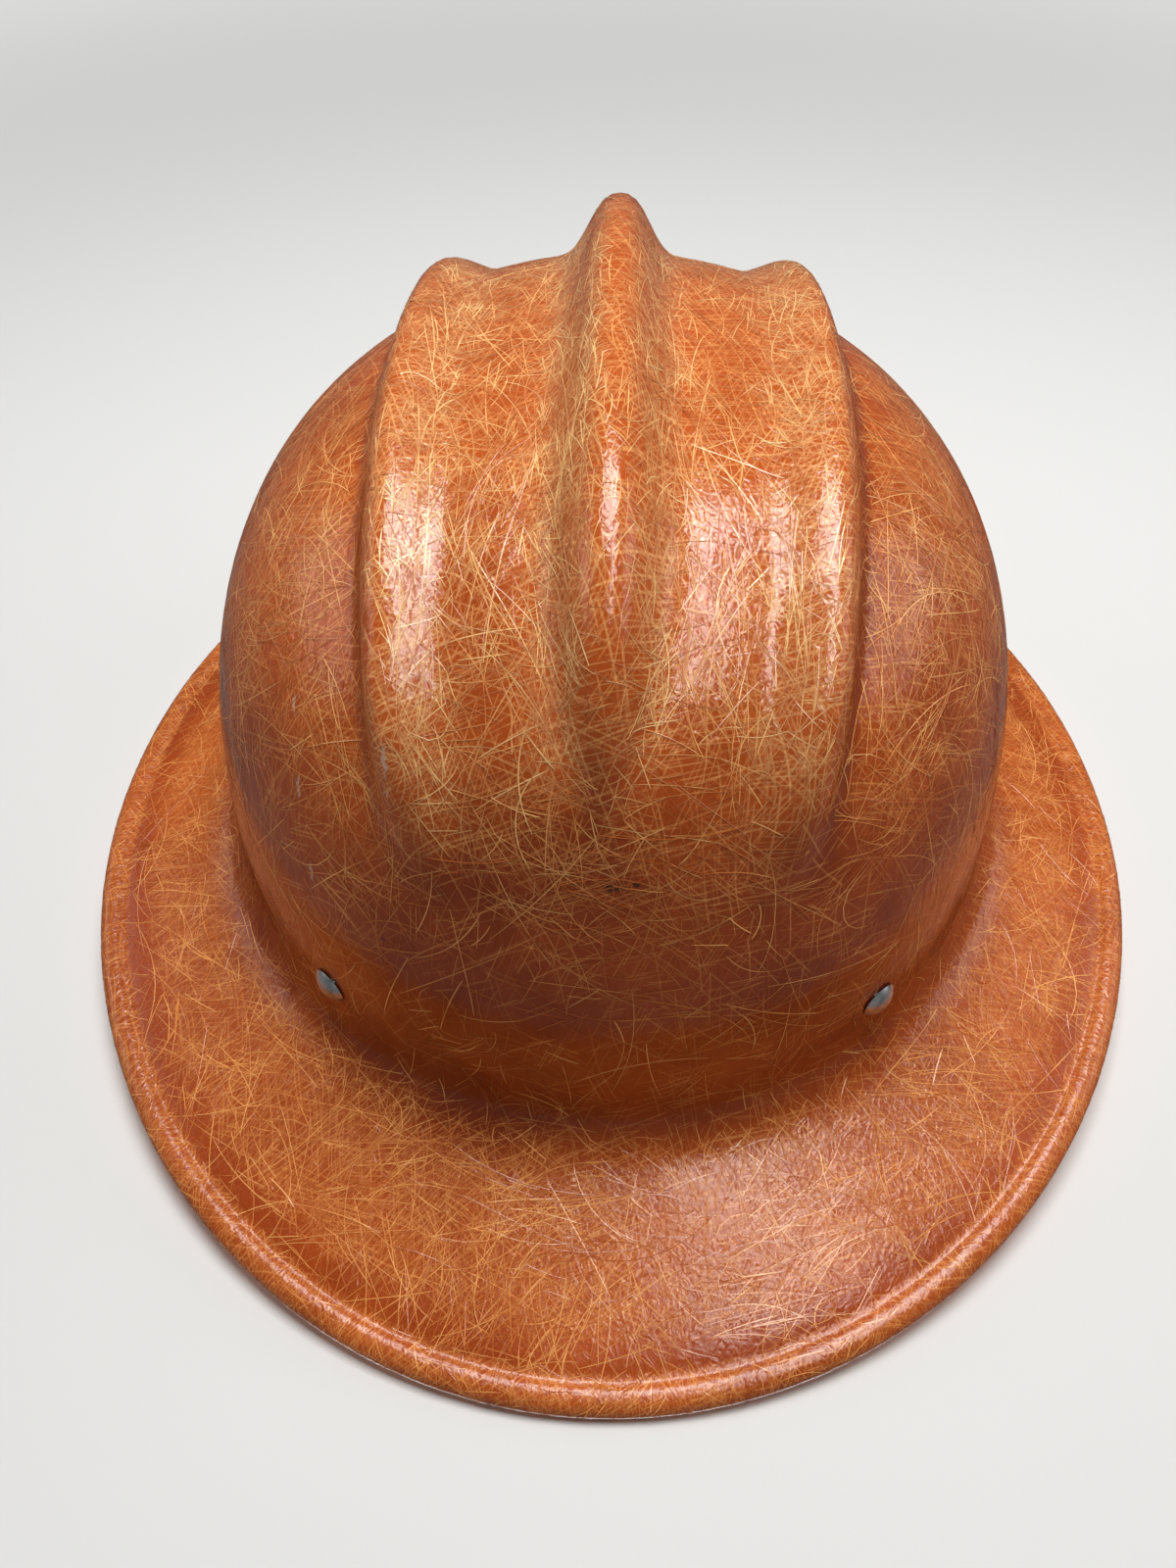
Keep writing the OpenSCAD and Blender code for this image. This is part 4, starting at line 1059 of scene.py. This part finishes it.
def strap_stops(sx, sy):
    """Middle, outward normal, width direction and bow of a strap along its route: up the
    wall, over to the lace, round it and back under itself"""
    c = cradle()
    seat, reach, end, high = strap_shape(sx, sy)
    top = c.rivet_z + c.tab
    to_wall = seat / reach
    first = rivet_dir(sx, sy)
    end_normal = arc_normal(reach, high, end)
    leave = end_normal + CURL
    mid_rho = c.lace_reach - curl_r() * math.cos(end_normal)
    mid_z = c.lace_z + curl_r() - curl_r() * math.sin(end_normal)

    def stop(rho, z, g, t=1, bowed=0):
        d = (first * (1 - t) + to_wall * t).normalized()
        return (Vector((to_wall.x * rho, to_wall.y * rho, z)),
                Vector((d.x * math.cos(g), d.y * math.cos(g), math.sin(g))),
                Vector((-d.y, d.x, 0)), bowed)

    def arc(g):
        return reach * math.cos(g), top + high * math.sin(g)

    def curled(g):
        return mid_rho + curl_r() * math.cos(g), mid_z + curl_r() * math.sin(g)

    stops = [stop(reach, c.rivet_z + c.tab * (2 * k / TAB_STEPS - 1), 0, 0, 1)
             for k in range(TAB_STEPS + 1)]
    for k in range(1, RISE_STEPS + 1):
        t = k / RISE_STEPS
        g = end * t
        stops.append(stop(*arc(g), arc_normal(reach, high, g), t, 1 - ease((t - 0.6) / 0.4)))
    for k in range(1, CURL_STEPS + 1):
        g = end_normal + CURL * k / CURL_STEPS
        stops.append(stop(*curled(g), g))
    under = c.strap_t + UNDER_GAPS * c.lay_gap
    start_rho, start_z = curled(leave)
    for k in range(1, TAIL_STEPS + 1):
        far = (TAIL_JOIN + c.sewn) * k / TAIL_STEPS
        g = end - far / reach
        n = arc_normal(reach, high, g)
        rho, z = arc(g)
        under_rho, under_z = rho - under * math.cos(n), z - under * math.sin(n)
        out_rho, out_z = start_rho - math.sin(leave) * far, start_z + math.cos(leave) * far
        t = ease(far / (1.6 * TAIL_JOIN))
        stops.append(stop(out_rho * (1 - t) + under_rho * t, out_z * (1 - t) + under_z * t,
                          n + math.pi + (leave - n - math.pi) * (1 - t)))
    return stops


def strip(bm, stops, width, layer):
    """A flat web along its stops: a grid whose faces are moved on to the route"""
    made = bmesh.ops.create_grid(bm, x_segments=len(stops) - 1, y_segments=ACROSS_STEPS, size=1.0)
    far = [0.0]
    for a, b in zip(stops, stops[1:]):
        far.append(far[-1] + (b[0] - a[0]).length)
    for v in made["verts"]:
        i = round((v.co.x + 1) / 2 * (len(stops) - 1))
        w = v.co.y
        mid, normal, side, bowed = stops[i]
        sag = (w * width / 2) ** 2 / sizes().crown_w * bowed
        v[layer] = (far[i], w * width / 2, 0)
        v.co = mid + side * w * width / 2 - normal * sag
    return far


def lift(bm):
    """Moves a mesh made about the crown's base to its place in the hat"""
    bmesh.ops.translate(bm, verts=bm.verts, vec=(0, sizes().crown_y, base_z()))


def stitch(bm, p, along, up, size=(1.1, 0.32, 0.26)):
    """One short stitch of thread, lying along a direction; its half sizes are in mm"""
    side = up.cross(along).normalized()
    turn = Matrix((along.normalized(), side, up.normalized())).transposed().to_4x4()
    shape = Matrix.Diagonal((size[0] * MM, size[1] * MM, size[2] * MM, 1))
    bmesh.ops.create_icosphere(bm, subdivisions=1, radius=1.0,
                               matrix=Matrix.Translation(p) @ turn @ shape)


def strap_stitches(bm, stops, far):
    """Rows of stitches across the strap where its end is sewn back, on both faces"""
    c = cradle()
    arc_end = TAB_STEPS + RISE_STEPS
    faces = (c.strap_t / 2, -1.5 * c.strap_t - UNDER_GAPS * c.lay_gap)
    for back in STITCH_ROWS:
        target = far[arc_end] - back * MM
        i = max(k for k, f in enumerate(far[:arc_end]) if f <= target)
        t = (target - far[i]) / (far[i + 1] - far[i])
        mid = stops[i][0].lerp(stops[i + 1][0], t)
        _, normal, side, _ = stops[i]
        for k in range(-3, 4):
            for face in faces:
                high = face + math.copysign(THREAD_PROUD, face)
                stitch(bm, mid + side * k * STITCH_STEP + normal * high, side, normal)


# Shape of the lace. Its ends from the knot, in diameters: sideways, forwards and up

LACE_END = ((1.1, 0.5, 0), (0.65, -0.4, 0), (0.56, -1.25, 0), (0.56, -2.8, 0),
            (1.1, -4.4, -0.5), (1.9, -6.25, -1.2), (2.5, -8.1, -2.1), (3.1, -11.2, -3.6))
LACE_TURN_R = 7 * MM
CORD_SIDES = 12
BEND_STEPS = 8
WRAP_STEPS = 12
ROUTE_PARTS = 5


def tube(bm, route, radius, closed, layer, ref):
    """A round cord along a route, grown ring by ring"""
    n = len(route)
    turns = [2 * math.pi * k / CORD_SIDES for k in range(CORD_SIDES)]
    rings, far = [], 0.0

    def around(i):
        if closed:
            way = route[(i + 1) % n] - route[i - 1]
        else:
            way = route[min(i + 1, n - 1)] - route[max(i - 1, 0)]
        s = way.cross(ref).normalized()
        return s, s.cross(way).normalized()

    def edges_of(ring):
        return list({e for v in ring for e in v.link_edges if set(e.verts) <= set(ring)})

    start = bmesh.ops.create_circle(bm, cap_ends=False, segments=CORD_SIDES, radius=1.0)
    ring = list(start["verts"])
    for i in range(n):
        if i:
            grown = bmesh.ops.extrude_edge_only(bm, edges=edges_of(ring))["geom"]
            new = [g for g in grown if isinstance(g, bmesh.types.BMVert)]
            ring = [min(new, key=lambda v: (v.co - o.co).length) for o in ring]
            far += (route[i] - route[i - 1]).length
        s, u = around(i)
        for v, turn in zip(ring, turns):
            v.co = route[i] + radius * (s * math.cos(turn) + u * math.sin(turn))
            v[layer] = (far, turn, 0)
        rings.append(ring)
    if closed:
        bmesh.ops.bridge_loops(bm, edges=edges_of(rings[0]) + edges_of(rings[-1]))
    else:
        for end in (rings[0], rings[-1]):
            bmesh.ops.contextual_create(bm, geom=end)


def smooth_route(points):
    """A finer route through the same points"""
    route = []
    n = len(points)
    for i in range(n - 1):
        p0, p1 = points[max(i - 1, 0)], points[i]
        p2, p3 = points[i + 1], points[min(i + 2, n - 1)]
        for k in range(ROUTE_PARTS):
            t = k / ROUTE_PARTS
            route.append(0.5 * (2 * p1 + (p2 - p0) * t + (2 * p0 - 5 * p1 + 4 * p2 - p3) * t ** 2
                                + (3 * p1 - p0 - 3 * p2 + p3) * t ** 3))
    return route + [points[-1]]


def lace_lie():
    """Distance and height of the lace, the way of the corner straps and the knot's place"""
    c = cradle()
    _, reach, end, high = strap_shape(1, 0)
    normal = arc_normal(reach, high, end)
    rho = c.lace_reach - curl_r() * math.cos(normal)
    height = c.lace_z + curl_r() * (1 - math.sin(normal))
    way = strap_shape(1, 1)[0]
    corner = math.atan2(way.y, way.x)
    return rho, height, corner, -rho / math.sin(corner)


def lace_route():
    """The lace from its right end round through the six loops to its left end"""
    c = cradle()
    rho, height, corner, knot_y = lace_lie()
    angles = [-corner, 0, corner, math.pi - corner, math.pi, math.pi + corner]

    def bend(a, b):
        far = (rho - LACE_TURN_R) / math.cos((b - a) / 2)
        mid = (a + b) / 2
        turns = [a + (b - a) * i / BEND_STEPS for i in range(BEND_STEPS + 1)]
        return [Vector((far * math.cos(mid) + LACE_TURN_R * math.cos(g),
                        far * math.sin(mid) + LACE_TURN_R * math.sin(g), height)) for g in turns]

    def entry(side):
        a, along = angles[0], -c.strap_w / 2 - 1 * MM
        return Vector((side * (rho * math.cos(a) - along * math.sin(a)),
                       rho * math.sin(a) + along * math.cos(a), height))

    def tail(side):
        d = c.cad_lace_d
        return [Vector((side * x * d, knot_y + y * d, height + z * d)) for x, y, z in LACE_END]

    ring = [p for a, b in zip(angles, angles[1:]) for p in bend(a, b)]
    right = smooth_route(list(reversed(tail(1))) + [entry(1)])
    left = smooth_route([entry(-1)] + tail(-1))
    return right + ring + left


def knot_route(back):
    """One wrap round both ends of the lace, at a distance in front of the knot"""
    c = cradle()
    _, height, _, knot_y = lace_lie()
    r = c.cad_lace_d + 2 * c.lay_gap
    x = LACE_END[2][0] * c.cad_lace_d
    route = []
    for side in (1, -1):
        for i in range(WRAP_STEPS + 1):
            g = side * math.radians(90 - 180 * i / WRAP_STEPS)
            route.append(Vector((side * x + side * r * math.cos(g), knot_y - back,
                                 height + r * math.sin(g))))
    return route


# Shape of the band

SHARP = math.radians(30)            # edges that turn more than this are rounded
BAND_STITCH = (1.25, 0.3, 0.22)     # half sizes in millimetres
BAND_THREAD_PROUD = 0.04 * MM


def rounded_copy(name, width, segments):
    """A copy of a solid with its sharp edges eased"""
    bm = bmesh.new()
    bm.from_mesh(NODES[name].data)
    bmesh.ops.remove_doubles(bm, verts=bm.verts, dist=0.002 * MM)
    bmesh.ops.dissolve_limit(bm, angle_limit=math.radians(0.5), verts=bm.verts, edges=bm.edges,
                             use_dissolve_boundaries=False)
    sharp = [e for e in bm.edges if len(e.link_faces) == 2 and e.calc_face_angle(0) > SHARP]
    bmesh.ops.bevel(bm, geom=sharp, offset=width, offset_type="OFFSET", segments=segments,
                    profile=0.5, affect="EDGES", clamp_overlap=True, material=-1)
    return bm


def band_arcs():
    """The four arcs of the band's oval, from the front right: middle, radius, start, end"""
    b = band()
    end_r, end_c = b.end_r, b.band_l / 2 - b.end_r
    half = b.band_w / 2
    side_r = (half ** 2 + end_c ** 2 - end_r ** 2) / (2 * (half - end_r))
    side_c = side_r - half
    join = math.atan2(end_c, side_c)
    return ((0, -end_c, end_r, math.pi + join, 2 * math.pi - join),
            (-side_c, 0, side_r, -join, join),
            (0, end_c, end_r, join, math.pi - join),
            (side_c, 0, side_r, math.pi - join, math.pi + join))


def oval_place(share, off):
    """A point and outward direction on the band's oval, at a share of its way round"""
    arcs = band_arcs()
    lengths = [(r + off) * (b - a) for _, _, r, a, b in arcs]
    d = share * sum(lengths)
    for (x, y, r, a, b), part in zip(arcs, lengths):
        if d <= part:
            g = a + d / (r + off)
            n = Vector((math.cos(g), math.sin(g), 0))
            return Vector((x, y + sizes().crown_y, 0)) + n * (r + off), n
        d -= part
    return oval_place(0.0, off)


def band_stitches():
    """Two rows of stitches round the leather, but not across the opening"""
    b, bm = band(), bmesh.new()
    low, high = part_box("sweatband")
    off = -(b.band_t + cradle().lay_gap + b.leather_t)
    (_, rear_c, end_r, _, _), (_, _, side_r, _, _) = band_arcs()[2], band_arcs()[1]
    number = int(math.pi * (end_r + side_r) / b.stitch_pitch)
    for z in (low.z + b.stitch_inset, high.z - b.stitch_inset):
        for k in range(number):
            p, n = oval_place(k / number, off)
            if abs(math.atan2(p.x, p.y - sizes().crown_y - rear_c)) < b.opening:
                continue
            p.z = z
            stitch(bm, p - n * BAND_THREAD_PROUD, Vector((-n.y, n.x, 0)), -n, BAND_STITCH)
    return bm


# The stage. Lamps: name, place, what they point at, size in metres and power in watts

LAMPS = (("overhead", (0.04, 0.1, 0.95), (0, 0, 0.08), (0.5, 0.4), 9.3),
         ("strip front", (0.32, -0.33, 1.0), (0.32, -0.33, 0), (0.26, 0.6), 6.4),
         ("strip rear", (0.32, 0.23, 1.0), (0.32, 0.23, 0), (0.26, 0.3), 2.8),
         ("left", (-0.85, 0.1, 0.45), (0, 0, 0.08), (0.6, 0.5), 1.3),
         ("right", (0.85, 0.1, 0.45), (0, 0, 0.08), (0.6, 0.5), 1.9),
         ("under", (0, 0, -0.7), (0, 0, 0), (0.7, 0.7), 4.5))
FLOOR_HALF = 6.0
WORLD_LIGHT = 0.08          # strength of the world as a light, where 1 is how it looks
WORLD_GLOSS = 0.14          # share of its look that shows in reflections


def link(name, data):
    obj = bpy.data.objects.new(name, data)
    bpy.context.scene.collection.objects.link(obj)
    return obj


def floor_finish():
    """Plain and pale, even in the distance, and clear from below"""
    pale = shade(bpy.context.scene.hat_stage.floor)
    g = Finish("Pale floor", roughness=0.85, specular=0.2)
    g.shader["Base Color"].default_value = pale
    far = g.step(g.vector("LENGTH", g.place()), 0.35, 1.0)
    seen = g.add("ShaderNodeLightPath", out="Is Camera Ray")
    even = g.add("ShaderNodeMixShader", g.math("MULTIPLY", far, seen),
                 g.tree.nodes["Principled BSDF"].outputs[0],
                 g.add("ShaderNodeEmission", pale, 1.0))
    below = g.add("ShaderNodeNewGeometry", out="Backfacing")
    whole = g.add("ShaderNodeMixShader", below, even, g.add("ShaderNodeBsdfTransparent"))
    g.put(g.tree.nodes["Material Output"].inputs[0], whole)
    return g.material


def lay_floor():
    bm = bmesh.new()
    bmesh.ops.create_grid(bm, x_segments=1, y_segments=1, size=FLOOR_HALF)
    mesh = bpy.data.meshes.new("floor")
    bm.to_mesh(mesh)
    bm.free()
    mesh.materials.append(floor_finish())
    floor = link("floor", mesh)
    floor.visible_shadow = False
    floor.visible_glossy = False


def light_world():
    """A world that looks like the floor, and lights the hat only a little"""
    world = bpy.data.worlds.new("studio")
    bpy.context.scene.world = world
    world.use_nodes = True
    g = Graph(world.node_tree)
    g.tree.nodes.clear()
    path = g.node("ShaderNodeLightPath").outputs
    seen = g.math("MAXIMUM", path["Is Camera Ray"], path["Is Transmission Ray"])
    seen = g.math("MAXIMUM", seen, g.math("MULTIPLY", path["Is Glossy Ray"], WORLD_GLOSS))
    strength = g.math("MULTIPLY_ADD", seen, 1 - WORLD_LIGHT, WORLD_LIGHT)
    light = g.add("ShaderNodeBackground", shade(bpy.context.scene.hat_stage.floor), strength)
    g.put(g.node("ShaderNodeOutputWorld").inputs[0], light)


def hang_lamps():
    """The lamps; the strips show only as reflections along the ribs"""
    for name, place, aim, size, power in LAMPS:
        data = bpy.data.lights.new(name, "AREA")
        data.shape = "RECTANGLE"
        data.size, data.size_y = size
        data.energy = power
        lamp = link(name, data)
        way = (Vector(aim) - Vector(place)).to_track_quat("-Z", "Y").to_matrix().to_4x4()
        lamp.matrix_world = Matrix.Translation(place) @ way
        lamp.visible_diffuse = not name.startswith("strip")


def set_camera():
    s = bpy.context.scene.hat_stage
    back = Vector((math.sin(s.azimuth) * math.cos(s.elevation),
                   -math.cos(s.azimuth) * math.cos(s.elevation), math.sin(s.elevation)))
    right = Vector((math.cos(s.azimuth), math.sin(s.azimuth), 0))
    up = back.cross(right)
    c, r = math.cos(s.roll), math.sin(s.roll)
    turn = Matrix((right * c + up * r, up * c - right * r, back)).transposed().to_4x4()
    data = bpy.data.cameras.new("camera")
    data.lens = s.lens
    data.sensor_width = 36.0
    data.clip_start = 0.01
    camera = link("camera", data)
    target = Vector((s.target_x, s.target_y, s.target_z))
    camera.matrix_world = Matrix.Translation(target + back * s.distance) @ turn
    bpy.context.scene.camera = camera


# Operators


class HAT_OT_stage(bpy.types.Operator):
    """Sets the floor, the soft studio light and the camera"""
    bl_idname = "hat.stage"
    bl_label = "Stage"
    bl_options = {"REGISTER", "UNDO"}

    def execute(self, context):
        lay_floor()
        light_world()
        hang_lamps()
        set_camera()
        context.scene.view_settings.view_transform = "Standard"
        return {"FINISHED"}


class HAT_OT_shell(bpy.types.Operator):
    """Models the ribbed shell with its bead, and moulds it of glass fibre"""
    bl_idname = "hat.shell"
    bl_label = "Shell"
    bl_options = {"REGISTER", "UNDO"}

    def execute(self, context):
        bm = shell_mesh()
        bm.normal_update()
        tree = BVHTree.FromBMesh(bm)
        for name, wanted, seed in STRANDS:
            lay_strands(bm, tree, name, getattr(sizes(), name), wanted, seed)
        piece("moulded_shell", bm, "hat_shell", material(moulded_resin), ["shell"])
        return {"FINISHED"}


class HAT_OT_fastenings(bpy.types.Operator):
    """Gives the rivets, washers, tips, eyelets, studs and nuts their metal"""
    bl_idname = "hat.fastenings"
    bl_label = "Fastenings"
    bl_options = {"REGISTER", "UNDO"}

    def execute(self, context):
        dress("shell_rivets", material(alloy, "Rivet alloy", 0.3))
        dress("rivet_washers", material(alloy, "Washer alloy", 0.38))
        dress("lace_tips", material(alloy, "Tip alloy", 0.34))
        for name in ("sweatband_eyelets", "nape_studs", "nape_nut_left", "nape_nut_right"):
            dress(name, material(dull_brass))
        return {"FINISHED"}


class HAT_OT_hangers(bpy.types.Operator):
    """Eases the edges of the hangers and of the loops that hang on them"""
    bl_idname = "hat.hangers"
    bl_label = "Hangers and loops"
    bl_options = {"REGISTER", "UNDO"}

    def execute(self, context):
        strip_alloy = material(alloy, "Strip alloy", 0.36, 0.4)
        for node, body, slot in (("corner_hangers", "hat_shell", "hangers"),
                                 ("side_hangers", "hat_shell", "hangers"),
                                 ("hook_loops", "head_band", "loops")):
            bm = rounded_copy(node, band().edge, 2)
            piece(node + "_eased", bm, body, strip_alloy, [node])
        return {"FINISHED"}


class HAT_OT_straps(bpy.types.Operator):
    """Weaves the six cradle straps, each sewn back on itself round the lace"""
    bl_idname = "hat.straps"
    bl_label = "Cradle straps"
    bl_options = {"REGISTER", "UNDO"}

    def execute(self, context):
        c = cradle()
        thread = bmesh.new()
        for key, name in STRAP_NAMES.items():
            bm = bmesh.new()
            stops = strap_stops(*key)
            far = strip(bm, stops, c.strap_w, bm.verts.layers.float_vector.new("cloth"))
            lift(bm)
            web = piece("web_" + name, bm, "hat_shell", material(woven_web), [name])
            wall = web.modifiers.new("Web thickness", "SOLIDIFY")
            wall.thickness, wall.offset = c.strap_t, 0.0
            edge = web.modifiers.new("Selvedge", "BEVEL")
            edge.width, edge.segments, edge.limit_method = SELVEDGE, 2, "ANGLE"
            edge.angle_limit = math.radians(50)
            strap_stitches(thread, stops, far)
        lift(thread)
        piece("strap_stitches", thread, "hat_shell", material(sewing_thread))
        return {"FINISHED"}


class HAT_OT_lace(bpy.types.Operator):
    """Braids the crown lace and binds it at the front with two wraps"""
    bl_idname = "hat.lace"
    bl_label = "Crown lace"
    bl_options = {"REGISTER", "UNDO"}

    def execute(self, context):
        c = cradle()
        bm = bmesh.new()
        layer = bm.verts.layers.float_vector.new("cloth")
        tube(bm, lace_route(), c.lace_d / 2, False, layer, Vector((0, 0, 1)))
        for back in (1.5 * c.cad_lace_d, 2.5 * c.cad_lace_d + c.lay_gap):
            tube(bm, knot_route(back), c.lace_d / 2, True, layer, Vector((0, 1, 0)))
        bmesh.ops.recalc_face_normals(bm, faces=bm.faces)
        in_order(bm)
        lift(bm)
        piece("braided_lace", bm, "hat_shell", material(braided_cord), ["crown_lace"])
        return {"FINISHED"}


class HAT_OT_headband(bpy.types.Operator):
    """Finishes the headband, its stitched leather and the nape strap"""
    bl_idname = "hat.headband"
    bl_label = "Headband"
    bl_options = {"REGISTER", "UNDO"}

    def execute(self, context):
        b = band()
        piece("headband_eased", rounded_copy("headband", b.edge, 2), "head_band",
              material(vulcanised_fibre), ["headband"])
        piece("sweatband_leather", rounded_copy("sweatband", b.sweatband_edge, 3), "head_band",
              material(tanned_leather, "Sweatband leather"), ["sweatband"])
        piece("nape_leather", rounded_copy("nape_strap", b.nape_edge, 3), "nape_slider",
              material(tanned_leather, "Nape leather", 0.7), ["nape_strap"])
        piece("sweatband_stitches", band_stitches(), "head_band",
              material(sewing_thread))
        return {"FINISHED"}


OPERATORS = (HAT_OT_stage, HAT_OT_shell, HAT_OT_fastenings, HAT_OT_hangers, HAT_OT_straps,
             HAT_OT_lace, HAT_OT_headband)
GROUPS = {"hat_shell": ShellSizes, "hat_cradle": CradleSizes, "hat_band": BandSizes,
          "hat_colours": Colours, "hat_stage": StageSettings}


class HAT_PT_panel(bpy.types.Panel):
    """Sizes, colours and pieces of the hard hat"""
    bl_idname = "HAT_PT_panel"
    bl_label = "Hard hat"
    bl_space_type = "VIEW_3D"
    bl_region_type = "UI"
    bl_category = "Hard hat"

    def draw(self, context):
        for title, key in (("Shell", "hat_shell"), ("Cradle", "hat_cradle"),
                           ("Band", "hat_band"), ("Colours", "hat_colours"),
                           ("Stage", "hat_stage")):
            box = self.layout.box()
            box.label(text=title)
            group = getattr(context.scene, key)
            for name in group.bl_rna.properties.keys():
                if name not in {"rna_type", "name"}:
                    box.prop(group, name)
        for operator in OPERATORS:
            self.layout.operator(operator.bl_idname)


def register():
    for name, group in GROUPS.items():
        bpy.utils.register_class(group)
        setattr(bpy.types.Scene, name, PointerProperty(type=group))
    for one in (*OPERATORS, HAT_PT_panel):
        bpy.utils.register_class(one)


def unregister():
    for one in (HAT_PT_panel, *reversed(OPERATORS)):
        bpy.utils.unregister_class(one)
    for name, group in GROUPS.items():
        delattr(bpy.types.Scene, name)
        bpy.utils.unregister_class(group)


def main():
    register()
    bpy.ops.hat.stage()
    bpy.ops.hat.shell()
    bpy.ops.hat.fastenings()
    bpy.ops.hat.hangers()
    bpy.ops.hat.straps()
    bpy.ops.hat.lace()
    bpy.ops.hat.headband()


if __name__ == "__main__":
    main()
